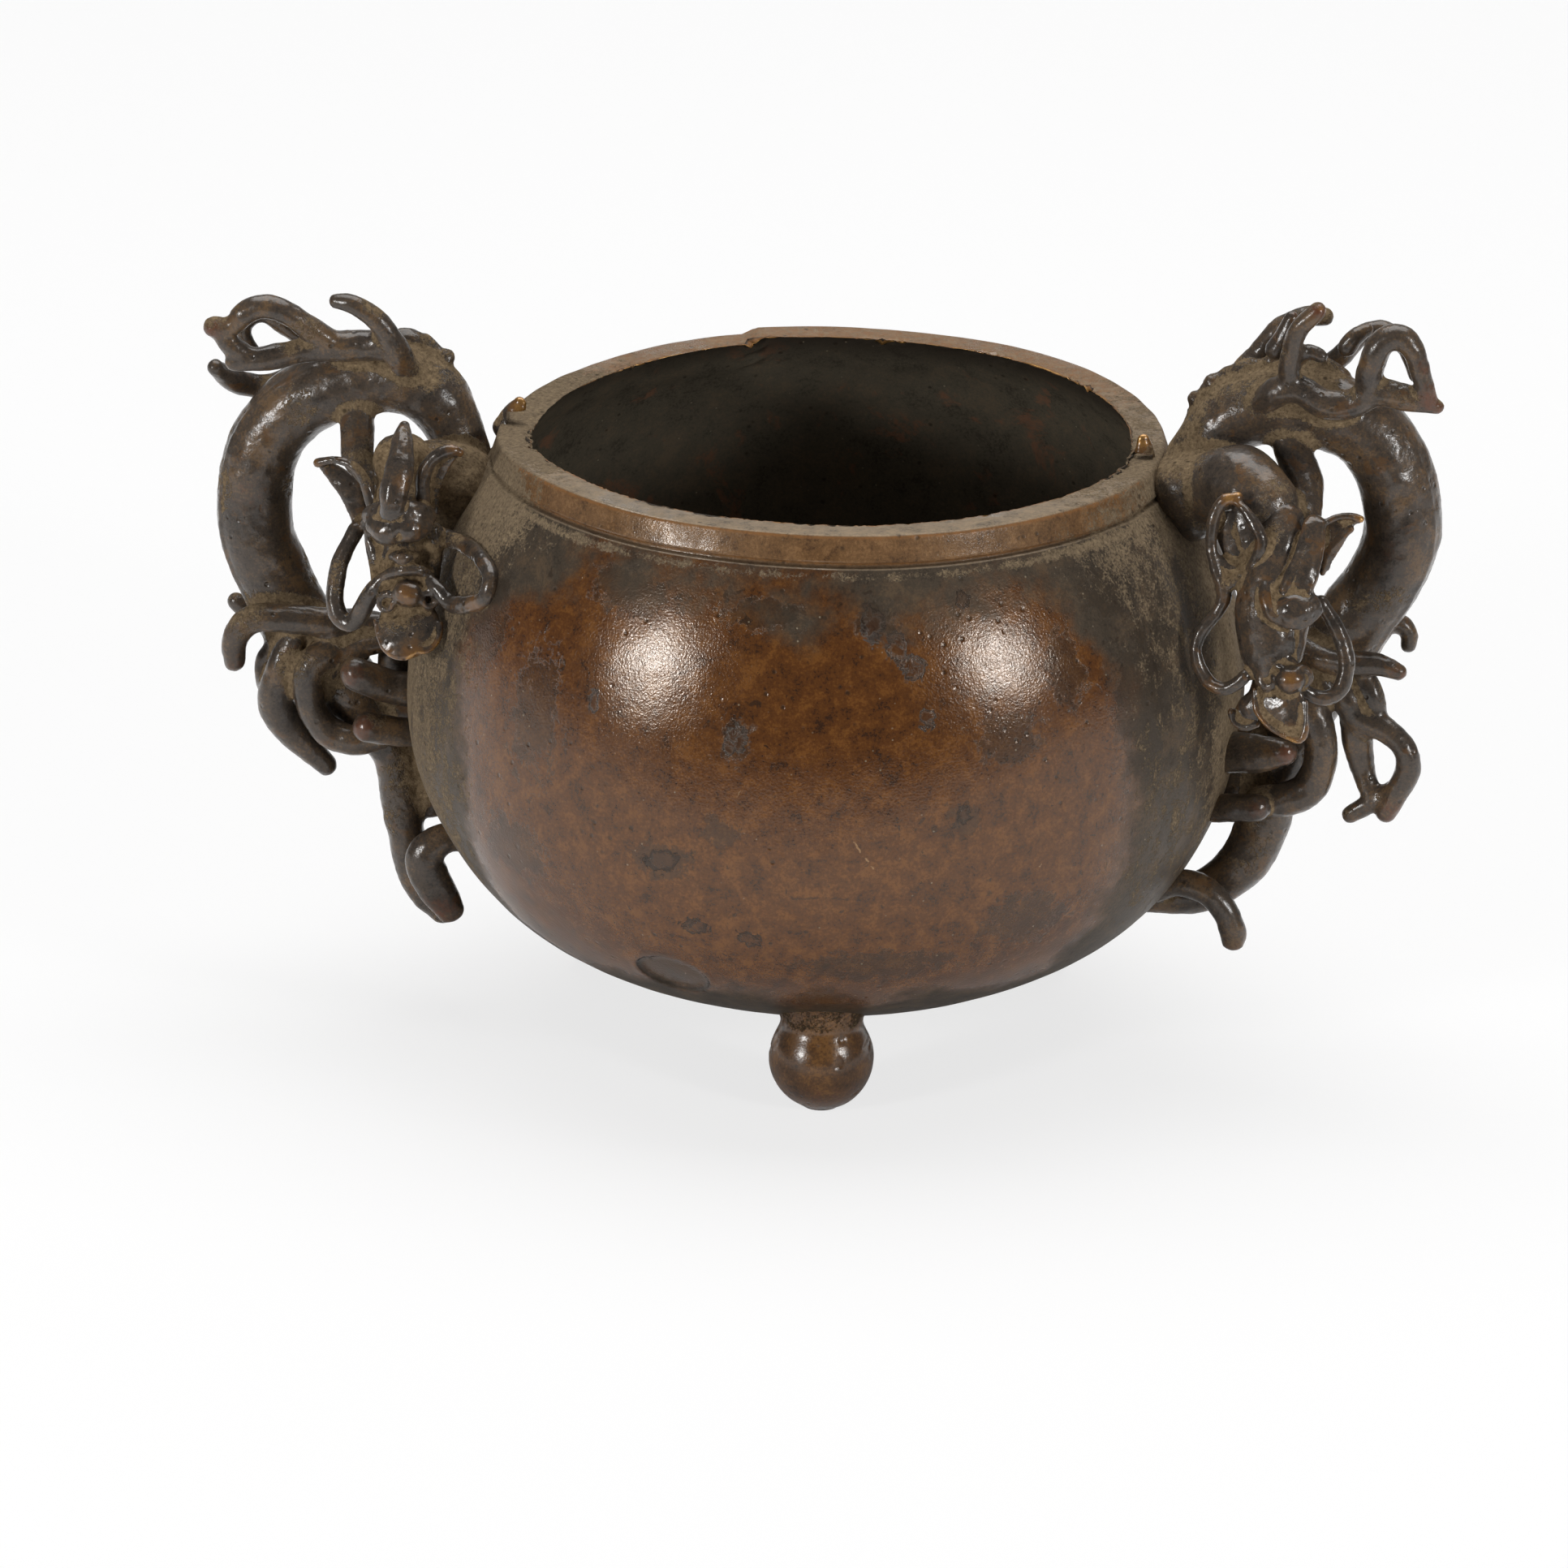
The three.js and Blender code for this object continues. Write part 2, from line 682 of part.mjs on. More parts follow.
// The dragon on +X
function rightDragon() {
  const piece = dragonSpace(1);
  const root = rimRise - rightRootDrop;
  piece('body', 0.5, {
    sides: 11,
    stations: [
      [wall(0, root) - rootSink, 0, root, 5],
      [-6.9, 0, 61.1, 6.3],
      [-0.9, 0, 68.4, coil - 0.5],
      [8, 0, 71.8, coil],
      [17.4, 0, 71.2, coil],
      [25, 0, 68.4, coil],
      [30.4, 0, 63, coil],
      [34.2, 0, 54.2, coil],
      [34.6, 0, 44.7, coil],
      [31.4, 0, 36.2, coil],
      [26.2, 0, 28.2, coil],
      [20.6, 0, 18.6, coil - 0.2],
      [15, 0, 7.7, coil - 0.8],
      [12, 0, 0.5, 6],
    ],
  });
  piece('neck', 0.5, {
    sides: 9,
    stations: [
      [wall(4, root + 1) - rootSink, 4, root + 1, neckCoil],
      [-4.6, 9.5, 56, neckCoil + 0.3],
      [2.4, 15.5, 60, neckCoil + 0.5],
      [7.4, 20, 57.5, neckCoil],
    ],
  });
  piece('tail', 0.45, {
    sides: 8,
    stations: [
      [12.2, 0, -1, 5.6],
      [9.6, 0, -8.5, 5.5],
      [7.6, 1, -17.9, 5.5],
      [5, 2, -24.8, 5.3],
      [-0.1, 3, -30.4, 4.6],
      [-6.6, 4, -33.3, 4],
      [wall(5, -34) - toeSink, 5, -34, 3.2],
    ],
  });
  piece('tail_tip', 0.35, {
    thin: facing,
    blunt: 0.6,
    stations: [
      [wall(9, -31) - toeSink, 9, -31, 2.6],
      [-8.1, 10.5, -28.4, 2.8],
      [-2.4, 11.5, -29.2, 2.9],
      [1.7, 12, -33.2, 2.9],
      [3.4, 12, -37.9, 2.8],
      [3.4, 12, -40, 2.4],
    ],
  });
  piece('nape_strut', 0.45, {
    stations: [
      [9.3, 1, 69.5, 4],
      [12, 6, 63.5, 3.7],
      [15.2, 11, 58.5, 3.5],
      [16, 18, 52.5, 3],
    ],
  });
  piece('mane', 0.65, {
    blunt: 0.4,
    stations: [
      [-9.4, -2, 66, 1.8],
      [-6.4, -2, 70.8, 2.7],
      [-1.6, -2, 75.4, 2.7],
      [3.8, -2, 78.4, 2.4],
      [10.9, -2, 78.8, 2.5],
      [15.7, -2, 79.4, 2.9],
      [20.7, -2, 77.2, 2.2],
    ],
  });
  piece('head', 0.45, {
    sides: 8,
    flat: 0.85,
    thin: turnedFacing,
    stations: [
      [10, 25, 54, 6],
      [11.1, 28, 48.7, 6.6],
      [12.2, 31, 42.1, 6.2],
      [12.6, 33, 35.1, 5.6],
      [13.3, 35, 29.8, 5.4],
      [13.6, 35.7, 27.5, 4.8],
    ],
  });
  piece('horn', 0.35, {
    flat: 0.7,
    thin: facing,
    stations: [
      [18, 26.5, 57, 1.3],
      [17.4, 29.5, 53.7, 2.1],
      [16.4, 32, 49.2, 2.1],
      [14.8, 34, 45, 1.5],
    ],
  });
  piece('brow', 0.3, {
    flat: 0.8,
    thin: facing,
    stations: [
      [9.6, 34, 42.4, 2],
      [15.6, 35, 41.6, 2.9],
      [18.6, 33.5, 41, 2.3],
    ],
  });
  piece('nose', 0.3, {
    stations: [
      [11, 38, 27.6, 2],
      [15.6, 40, 28.9, 2.7],
      [18.4, 37.5, 27.4, 1.7],
    ],
  });
  piece('upper_lip', 0.35, {
    sides: 8,
    flat: 0.32,
    thin: turnedFacing,
    stations: [
      [13.7, 37, 26.6, 5],
      [14.6, 39.6, 21.5, 5.5],
      [16.2, 41.2, 17.8, 3.8],
    ],
  });
  piece('lower_jaw', 0.5, {
    flat: 0.4,
    thin: turnedFacing,
    stations: [
      [11.6, 33.4, 26.5, 4.6],
      [8.6, 32.4, 21, 4],
      [7, 32, 16.8, 3],
    ],
  });
  piece('ear_inner', 0.4, {
    flat: 0.5,
    thin: turnedFacing,
    stations: [
      [5.6, 28, 43.5, 1.8],
      [3, 26.5, 48.8, 3.8],
      [3.2, 25, 54, 3.3],
      [2.5, 24, 59.1, 1.3],
    ],
  });
  piece('ear_outer', 0.4, {
    flat: 0.45,
    thin: facing,
    stations: [
      [16, 28, 47.4, 2.2],
      [19.4, 27, 49.4, 2.4],
      [21.8, 26, 52.9, 2.6],
      [24.8, 25, 55.7, 2],
      [28, 25, 57.4, 0.9],
    ],
  });
  piece('whisker_inner', 0.3, {
    stations: [
      [2.5, 24.5, 59.9, wire - 0.3],
      [-0.6, 26, 57.8, wire - 0.1],
      [-1.4, 28, 53, wire],
      [-0.6, 29, 47.4, wire],
      [1.7, 30, 43.3, wire],
      [0.4, 31, 39.6, wire],
      [-2.1, 32, 34.6, wire],
      [-3.5, 33, 30.2, wire],
      [-2.3, 34, 25.8, wire],
      [1.1, 35, 24.4, wire],
      [4.8, 36, 26.4, wire],
      [9.6, 36, 30.2, wire - 0.3],
    ],
  });
  piece('whisker_outer', 0.35, {
    stations: [
      [18.4, 30, 45.4, wire],
      [22.2, 31, 40.2, wire],
      [24.8, 32, 35.5, wire],
      [26.7, 33, 30, wire],
      [26.3, 34, 25.2, wire],
      [22.8, 35, 22.7, wire + 0.2],
      [19.6, 36, 24.2, wire],
      [16.6, 36, 28.2, wire - 0.3],
    ],
  });
  piece(
    'fore_paw', 0.4,
    {
      stations: [
        [5.3, 5.5, 73.5, toe],
        [8.7, 7.5, 77, limb],
        [12.8, 8, 78, limb],
        [17.9, 9, 75.6, limb],
        [23.1, 9, 75.8, limb],
        [28.3, 9.5, 78.7, limb],
        [35, 10.5, 78.2, toe],
        [42.2, 10.5, 76.6, toe - 1.2],
      ],
    },
    {
      stations: [
        [10.8, 8, 78.5, toe],
        [11, 9.5, 85.3, toe - 0.4],
        [12.6, 10.5, 91.2, toe - 0.6],
        [16.5, 11, 96.2, toe - 0.9],
      ],
    },
    {
      stations: [
        [26.7, 9.5, 77.7, toe + 0.2],
        [27.4, 11, 84.9, toe],
        [29.9, 11.5, 90.5, toe],
        [33.4, 11.5, 92.1, toe],
        [36.6, 11.5, 88.9, toe - 0.3],
        [38.2, 11.5, 83.9, toe - 0.6],
        [39.8, 11, 78, toe - 1],
      ],
    },
  );
  piece(
    'rear_fore_paw', 0.5,
    {
      stations: [
        [17, -7, 75.5, toe],
        [11, -7.2, 76, toe],
        [5, -6.8, 76, toe],
        [0, -6, 75.5, toe],
        [3, -7, 81, toe - 0.3],
        [6.8, -8, 86, toe - 0.3],
        [11.6, -8, 88.7, toe - 0.6],
        [16, -8, 88.8, toe - 0.8],
      ],
    },
    {
      stations: [
        [14, -7.2, 75.6, toe],
        [19.3, -8, 79.9, toe - 0.3],
        [23.6, -9, 84.6, toe - 0.4],
        [27.6, -9.5, 85.6, toe - 0.6],
        [32.1, -9.5, 82.6, toe - 0.6],
        [34.7, -9.5, 76.7, toe - 0.9],
      ],
    },
  );
  piece('hind_paw', 0.4, {
    stations: [
      [14.4, 6.5, 22.4, toe + 0.2],
      [21.3, 9.5, 21.2, toe],
      [26.3, 10.5, 21.4, toe - 0.2],
      [31.2, 10.5, 21.4, toe - 0.4],
      [35, 10.5, 20.2, toe - 0.8],
    ],
  });
  piece(
    'hind_leg', 0.4,
    {
      stations: [
        [18, 5, 17, limb + 0.2],
        [23.4, 8, 14.6, limb + 0.2],
        [27.3, 9, 9.2, limb],
        [32.4, 10, 7, limb - 0.2],
        [37.2, 11, 2.8, toe - 0.2],
        [38.2, 11, -1, toe - 0.3],
        [36.2, 11, -6, toe - 0.4],
        [34.2, 11, -10.2, toe - 0.6],
      ],
    },
    {
      stations: [
        [26.7, 8.5, 9.7, limb],
        [28.1, 7.5, 3.3, toe],
        [28.6, 7.5, -1.9, toe - 0.1],
        [30.3, 9, -6.3, toe - 0.5],
      ],
    },
    {
      stations: [
        [35.9, 10.5, -4.4, toe - 0.7],
        [31.2, 9.5, -8, toe - 0.6],
        [26.2, 9, -11.7, toe - 0.9],
      ],
    },
  );
  piece('rear_hind_paw', 0.55, {
    stations: [
      [22, -6.5, 19, toe],
      [29.2, -9, 21.7, toe - 0.3],
      [34, -9.5, 24, toe - 0.6],
      [36.4, -9.5, 21.8, toe - 0.8],
      [36.4, -9.5, 19.3, toe - 1],
    ],
  });
  piece('thigh', 0.45, {
    stations: [
      [12, 5.5, 11.2, limb + 0.4],
      [17, 9.4, 11.4, limb + 0.4],
      [19.4, 10.5, 5.9, limb + 0.4],
      [19.8, 10.5, -0.2, limb + 0.4],
      [17.6, 10.5, -5.9, limb + 0.4],
      [13.3, 10.5, -8.7, limb + 0.4],
      [7.6, 9, -10.1, limb],
    ],
  });
  piece('upper_toe', 0.35, {
    stations: [
      [wall(8, 0) - toeSink, 8, 0, 4.3],
      [6.5, 12, 1.4, 4.1],
      [12.9, 15.5, 3.2, 2.9],
    ],
  });
  piece('lower_toe', 0.4, {
    blunt: 0.5,
    stations: [
      [wall(9, -12.7) - toeSink, 9, -12.7, toe],
      [1.9, 12, -10.8, toe + 0.3],
      [7.4, 14, -9.6, toe + 0.2],
    ],
  });
}

leftDragon();
rightDragon();

// A small pointed tang of the handle's casting stands on the rim over each dragon
function rimTang(name, side, height) {
  const angle = tangTurn * degree;
  const radius = (rimRadius + mouthRadius) / 2;
  const [x, y] = [side * radius * Math.cos(angle), radius * Math.sin(angle)];
  const base = equatorHeight + rimRise;
  const stations = [
    [x, y, base - tangRadius / 2, tangRadius],
    [x + side * tangRadius / 6, y, base + height / 4, 0.8 * tangRadius],
    [x, y, base + height, 0.2 * tangRadius],
  ];
  addPiece(name, bar(stations, {}, 0).subtract(bowlSeat), bronze.bright, 0.5);
}

rimTang('rim_tang_left', -1, leftTangHeight);
rimTang('rim_tang_right', 1, rightTangHeight);

export default model;
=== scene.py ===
# %% [markdown]
# # A bronze incense burner with dragon handles
#
# The burner is a round-bellied bronze bowl on three ball feet. A dragon of coiled bronze sits at
# each side as a handle. It was cast by the lost-wax way: the founder shaped the whole burner in
# wax, joined the dragons' coils with a warm tool, and poured bronze in the wax's place.
# This script follows the founder. It makes the coils as separate rolls of wax, fuses them, softens
# the joints, roughens the skin and then lays a century of patina and dust over it.
#
# Lengths are in millimetres until an object is made. The floor is Z 0, the bowl stands on the
# Z axis, the handles lie along X, and the dragons look to the front, which is -Y.

import itertools
import math

import bpy
import numpy as np
from mathutils import Matrix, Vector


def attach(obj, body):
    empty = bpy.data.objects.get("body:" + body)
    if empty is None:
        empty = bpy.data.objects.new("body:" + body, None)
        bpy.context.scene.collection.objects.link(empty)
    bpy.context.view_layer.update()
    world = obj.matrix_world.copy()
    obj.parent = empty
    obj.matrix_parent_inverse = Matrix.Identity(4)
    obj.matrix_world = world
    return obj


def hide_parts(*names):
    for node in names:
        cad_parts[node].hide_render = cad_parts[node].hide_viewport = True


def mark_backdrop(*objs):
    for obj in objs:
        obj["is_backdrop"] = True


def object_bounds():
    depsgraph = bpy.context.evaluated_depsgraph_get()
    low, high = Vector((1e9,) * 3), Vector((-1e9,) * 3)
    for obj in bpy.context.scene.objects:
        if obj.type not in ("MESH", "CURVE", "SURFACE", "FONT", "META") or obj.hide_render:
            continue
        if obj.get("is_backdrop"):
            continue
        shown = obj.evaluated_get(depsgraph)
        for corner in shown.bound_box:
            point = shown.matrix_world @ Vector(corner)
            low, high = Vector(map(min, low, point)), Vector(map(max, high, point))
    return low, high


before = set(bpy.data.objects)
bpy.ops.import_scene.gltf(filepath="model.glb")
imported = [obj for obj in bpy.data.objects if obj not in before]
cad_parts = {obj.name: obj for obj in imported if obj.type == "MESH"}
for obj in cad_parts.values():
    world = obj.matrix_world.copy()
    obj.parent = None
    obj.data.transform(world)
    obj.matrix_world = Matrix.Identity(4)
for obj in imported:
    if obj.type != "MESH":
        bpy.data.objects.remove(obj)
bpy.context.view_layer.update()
scene = bpy.context.scene

# %% [markdown]
# ## The burner's main sizes
#
# These are the solids' own sizes, so that each surface lands where its solid is. Heights written
# as "up" are measured from the belly's widest line. A coil that is rooted in the bowl ends at the
# root's depth under the bowl's skin, in the middle of its wall.

# %% Main sizes
BOWL_RADIUS = 82.5
BELLY_DEPTH = 56.3
BELLY_FULLNESS = 2.17
SHOULDER_FULLNESS = 2.3
WALL = 4.5
EQUATOR = 65.5
RIM_RISE = 61.0
BAND_FOOT = 56.8
RIM_RADIUS = 68.6
MOUTH_RADIUS = 59.6
GROOVE_DEPTH = 0.5
ROOT_DEPTH = 2.6

BALL_RADIUS = 10.7
BALL_CENTRE = 10.2
FOOT_CIRCLE = 51.0
FOOT_TURN = 8.0
FOOT_NECK = 8.2

SHOULDER_SHARE = ((RIM_RADIUS - GROOVE_DEPTH) / BOWL_RADIUS) ** SHOULDER_FULLNESS
SHOULDER_RISE = BAND_FOOT / (1 - SHOULDER_SHARE) ** (1 / SHOULDER_FULLNESS)


def belly_radius(up):
    """The bowl's outer radius at a height: a superellipse, where the share of the radius and the
    share of the height, each raised to the fullness, add up to one."""
    up = np.asarray(up, float)
    reach = np.where(up < 0, BELLY_DEPTH, SHOULDER_RISE)
    power = np.where(up < 0, BELLY_FULLNESS, SHOULDER_FULLNESS)
    part = np.minimum(np.abs(up) / reach, 1)
    return BOWL_RADIUS * (1 - part**power) ** (1 / power)


print("the shoulder would close", round(SHOULDER_RISE, 1), "mm above the belly line")

# %% [markdown]
# ## Tools for shaping wax
#
# A surface here is an array of points and an array of faces. The tools below give the normals of
# such a surface, the mean of each point's neighbours, and a smooth random field. With these three
# a surface can be softened, roughened and measured for hollows.

# %% Normals, neighbours and noise

# Large numbers without a pattern. A place in whole steps is multiplied by them to look like chance
SCATTER_X, SCATTER_Y, SCATTER_Z, SCATTER_SEED = 73856093, 19349663, 83492791, 2654435
FIRST_MIX, SECOND_MIX = 1274126177, 668265263


def unit(vectors):
    """Each vector divided by its own length."""
    return vectors / np.maximum(np.linalg.norm(vectors, axis=-1, keepdims=True), 1e-12)


def surface_normals(points, faces):
    """The normal at a point is the sum of its faces' cross products, brought to length one."""
    corner = points[faces]
    if faces.shape[1] == 4:
        face = np.cross(corner[:, 2] - corner[:, 0], corner[:, 3] - corner[:, 1])
    else:
        face = np.cross(corner[:, 1] - corner[:, 0], corner[:, 2] - corner[:, 0])
    flat = faces.ravel()
    spread = np.repeat(face, faces.shape[1], axis=0)
    total = np.stack([np.bincount(flat, spread[:, k], len(points)) for k in range(3)], axis=1)
    return unit(total)


def neighbour_mean(faces, count):
    """A function that replaces each point's value by the mean over the points one edge away."""
    pairs = np.concatenate([faces, np.roll(faces, -1, axis=1)], axis=1)
    size = faces.shape[1]
    ends = np.concatenate([pairs[:, [k, k + size]] for k in range(size)])
    ends = np.unique(np.sort(ends, axis=1), axis=0)
    start = np.concatenate([ends[:, 0], ends[:, 1]])
    stop = np.concatenate([ends[:, 1], ends[:, 0]])
    reach = np.maximum(np.bincount(start, minlength=count), 1)

    def mean(values):
        columns = values.reshape(count, -1)
        sums = [np.bincount(start, columns[stop, k], count) / reach for k in range(columns.shape[1])]
        return np.stack(sums, axis=1).reshape(values.shape)

    return mean


def wax_noise(points, size, seed):
    """Smooth random bumps from -1 to 1. Space is cut into cubes of the given size, each cube corner
    gets a random value, and a point blends the eight values round it along a smooth curve."""
    place = points / size
    cell = np.floor(place).astype(np.int64)
    part = place - cell
    fade = part**3 * (part * (part * 6 - 15) + 10)
    total = np.zeros(len(points))
    for corner in itertools.product((0, 1), repeat=3):
        at = cell + corner
        mixed = (at[:, 0] * SCATTER_X) ^ (at[:, 1] * SCATTER_Y) ^ (at[:, 2] * SCATTER_Z)
        mixed = mixed ^ (seed * SCATTER_SEED)
        mixed = ((mixed ^ (mixed >> 13)) * FIRST_MIX) & 0xFFFFFFFF
        mixed = ((mixed ^ (mixed >> 15)) * SECOND_MIX) & 0xFFFFFFFF
        value = (mixed >> 8) / 0x7FFFFF - 1
        weight = np.prod(np.where(corner, fade, 1 - fade), axis=1)
        total += weight * value
    return total


def rough_noise(points, size, octaves, seed):
    """Noise over noise: each octave has half the size and half the height of the one before."""
    return sum(wax_noise(points, size / 2**k, seed + k) / 2**k for k in range(octaves))


def smooth_step(values, low, high):
    """0 below low, 1 above high, and an S-shaped curve between."""
    part = np.clip((values - low) / (high - low), 0, 1)
    return part * part * (3 - 2 * part)


def bell(distance, width):
    """1 at distance 0, falling as e to the power of minus the square of distance over width."""
    return np.exp(-((distance / width) ** 2))


# %% Points and faces become an object


def grid_faces(rows, around, poles):
    """Quads between the rings of a surface that closes round on itself, each split into two
    triangles. With poles, one point more at either end closes the surface with a fan."""
    row = np.arange(rows - 1)[:, None] * around
    turn = np.arange(around)[None, :]
    following = (turn + 1) % around
    a, b = row + turn, row + following
    c, d = b + around, a + around
    faces = [np.stack([a, b, c], -1).reshape(-1, 3), np.stack([a, c, d], -1).reshape(-1, 3)]
    if poles:
        first, last = rows * around, rows * around + 1
        turn, following = turn[0], following[0]
        end = (rows - 1) * around
        faces.append(np.stack([np.full(around, first), following, turn], -1))
        faces.append(np.stack([np.full(around, last), end + turn, end + following], -1))
    return np.concatenate(faces)


def facing_out(points, faces):
    """The faces, turned over if the volume they enclose comes out negative."""
    a, b, c = points[faces[:, 0]], points[faces[:, 1]], points[faces[:, 2]]
    volume = np.einsum("ij,ij->i", a, np.cross(b, c)).sum()
    return faces if volume > 0 else faces[:, ::-1]


def bronze_object(name, points, faces, values=None, scale=0.001):
    """An object with smooth shading, its points scaled to metres, and named values stored on them."""
    mesh = bpy.data.meshes.new(name)
    count, size = faces.shape
    mesh.vertices.add(len(points))
    mesh.vertices.foreach_set("co", (points * scale).ravel())
    mesh.loops.add(count * size)
    mesh.loops.foreach_set("vertex_index", faces.ravel().astype(np.int32))
    mesh.polygons.add(count)
    mesh.polygons.foreach_set("loop_start", np.arange(0, count * size, size, dtype=np.int32))
    mesh.polygons.foreach_set("use_smooth", np.ones(count, dtype=bool))
    mesh.update(calc_edges=True)
    for key, value in (values or {}).items():
        held = mesh.attributes.new(key, "FLOAT", "POINT")
        held.data.foreach_set("value", value.astype(np.float32))
    made = bpy.data.objects.new(name, mesh)
    scene.collection.objects.link(made)
    return made


# %% [markdown]
# ## Rolls of wax
#
# Every coil, claw and whisker starts as a roll of wax laid along a curve. The curve passes through
# stations, each a place with a radius there. The places are written as the maker sees them:
# how far out from the belly's widest radius, how far forward of the handle, and how far up.
# The curve is a centripetal spline, because it never loops or swings out between close stations.

# %% A curve through stations
CUTS = 24


def on_burner(stations, side):
    """Stations of (out, forward, up, radius) as rows of (x, y, z, radius). side is 1 for +X."""
    given = np.array(stations, float)
    out, forward, up, radius = given.T
    return np.stack([side * (BOWL_RADIUS + out), -forward, EQUATOR + up, radius], axis=1)


def curve_through(rows, step):
    """Resamples the stations every step along a centripetal spline. Between two stations the curve
    is a cubic whose slopes come from the stations on both sides, with spans equal to the square
    root of each distance. It is first drawn in CUTS pieces a span, then spaced evenly."""
    line = np.vstack([2 * rows[0] - rows[1], rows, 2 * rows[-1] - rows[-2]])
    span = np.linalg.norm(np.diff(line[:, :3], axis=0), axis=1) ** 0.5
    share = np.linspace(0, 1, CUTS, endpoint=False)[:, None]
    parts = []
    for i in range(len(rows) - 1):
        p0, p1, p2, p3 = line[i : i + 4]
        d0, d1, d2 = span[i : i + 3]
        slope1 = d1 * ((p1 - p0) / d0 - (p2 - p0) / (d0 + d1) + (p2 - p1) / d1)
        slope2 = d1 * ((p2 - p1) / d1 - (p3 - p1) / (d1 + d2) + (p3 - p2) / d2)
        bend = 2 * p1 - 2 * p2 + slope1 + slope2
        lean = -3 * p1 + 3 * p2 - 2 * slope1 - slope2
        parts.append(bend * share**3 + lean * share**2 + slope1 * share + p1)
    fine = np.vstack([*parts, rows[-1:]])
    walked = np.concatenate([[0], np.cumsum(np.linalg.norm(np.diff(fine[:, :3], axis=0), axis=1))])
    places = np.linspace(0, walked[-1], max(int(walked[-1] / step), 3) + 1)
    return np.stack([np.interp(places, walked, fine[:, k]) for k in range(4)], axis=1)


# %% A roll of wax along a curve


def roll(stations, side, flat=1.0, thin=None, blunt=(1.0, 1.0), step=0.8):
    """A closed roll as (points, triangles). Its section is an ellipse, flat times as thick along
    thin as across it. Each end closes with a quarter circle, shortened by blunt. Without thin,
    the section's narrow axis is the direction in which the curve spreads least."""
    line = curve_through(on_burner(stations, side), step)
    place, radius = line[:, :3], line[:, 3]
    along = unit(np.gradient(place, axis=0))
    if thin is None:
        narrow = np.linalg.svd(place - place.mean(axis=0), full_matrices=False)[2][2]
    else:
        narrow = unit(np.array([side * thin[0], -thin[1], thin[2]], float))
    narrow = unit(narrow - along * (along @ narrow)[:, None])
    wide = np.cross(along, narrow)

    bend = np.linspace(0, math.pi / 2, 6)[1:-1]
    count = len(line)
    order = np.concatenate([np.zeros(len(bend), int), np.arange(count), np.full(len(bend), count - 1)])
    shrink = np.concatenate([np.sin(bend), np.ones(count), np.sin(bend)[::-1]])
    push = np.concatenate([-np.cos(bend), np.zeros(count), np.cos(bend)[::-1]])
    end_share = np.where(np.arange(len(order)) < len(order) / 2, blunt[0], blunt[1])
    reach = radius[order] * flat * end_share
    centre = place[order] + along[order] * (push * reach)[:, None]
    across = (radius[order] * shrink)[:, None, None]
    around = max(12, int(2 * math.pi * radius.max() / step))
    angle = np.linspace(0, 2 * math.pi, around, endpoint=False)[None, :, None]
    ring = wide[order][:, None] * np.cos(angle) + narrow[order][:, None] * np.sin(angle) * flat
    skin = (centre[:, None] + ring * across).reshape(-1, 3)
    tips = [place[0] - along[0] * reach[0], place[-1] + along[-1] * reach[-1]]
    points = np.vstack([skin, tips])
    return points, facing_out(points, grid_faces(len(order), around, True))


def lump(out, forward, up, radius, side, **shape):
    """A round lump of wax: a roll so short that only its two ends are left."""
    return roll([(out, forward, up - 0.05, radius), (out, forward, up + 0.05, radius)], side, **shape)


# %% [markdown]
# ## Fusing and softening
#
# The founder fused the rolls with a hot tool, which left one skin and filled the corners between
# the coils. Here the rolls are joined by a fine voxel grid, which keeps only their common outside.
# Then the corners are filled: each point moves towards the mean of its neighbours, a long way
# where the skin is hollow and hardly at all where it bulges, so claws and lips keep their size.

# %% Fuse rolls into one skin


def fused(shapes, voxel):
    """The common outside of overlapping closed shapes as (points, quads)."""
    offsets = np.cumsum([0, *[len(points) for points, _ in shapes]])
    points = np.vstack([points for points, _ in shapes])
    faces = np.vstack([faces + offset for (_, faces), offset in zip(shapes, offsets)])
    raw = bronze_object("wax_rolls", points, faces, scale=1)
    remesh = raw.modifiers.new("fuse", "REMESH")
    remesh.mode = "VOXEL"
    remesh.voxel_size = voxel
    ready = raw.evaluated_get(bpy.context.evaluated_depsgraph_get())
    skin = bpy.data.meshes.new_from_object(ready)
    place = np.empty(len(skin.vertices) * 3, dtype=np.float32)
    corner = np.empty(len(skin.loops), dtype=np.int32)
    skin.vertices.foreach_get("co", place)
    skin.loops.foreach_get("vertex_index", corner)
    quads = corner.reshape(-1, 4)
    for mesh in (skin, raw.data):
        bpy.data.meshes.remove(mesh)
    return place.reshape(-1, 3).astype(float), quads


# %% Soften the corners, and measure bulges and closeness


def softened(points, faces, rounds, fill, wear):
    """Fills hollow corners and barely rounds bulges, and evens out the spacing along the skin."""
    mean = neighbour_mean(faces, len(points))
    for _ in range(rounds):
        normal = surface_normals(points, faces)
        move = mean(points) - points
        rise = np.einsum("ij,ij->i", move, normal)
        slide = move - normal * rise[:, None]
        points = points + normal * (np.where(rise > 0, fill, wear) * rise)[:, None] + 0.3 * slide
    return points


def bulge(points, faces, rounds):
    """How sharply the skin bulges, in one over millimetres: the sum of one over each of its two
    radii, above zero on bulges and below zero in hollows. The mean of a point's four neighbours
    lies deeper than the point by this sum times the square of the spacing over four, and more
    rounds look at a wider neighbourhood."""
    mean = neighbour_mean(faces, len(points))
    spacing = np.linalg.norm(points[faces[:, 0]] - points[faces[:, 1]], axis=1).mean()
    smooth = points
    for _ in range(rounds):
        smooth = mean(smooth)
    depth = np.einsum("ij,ij->i", points - smooth, surface_normals(points, faces))
    return depth * 4 / (rounds * spacing**2)


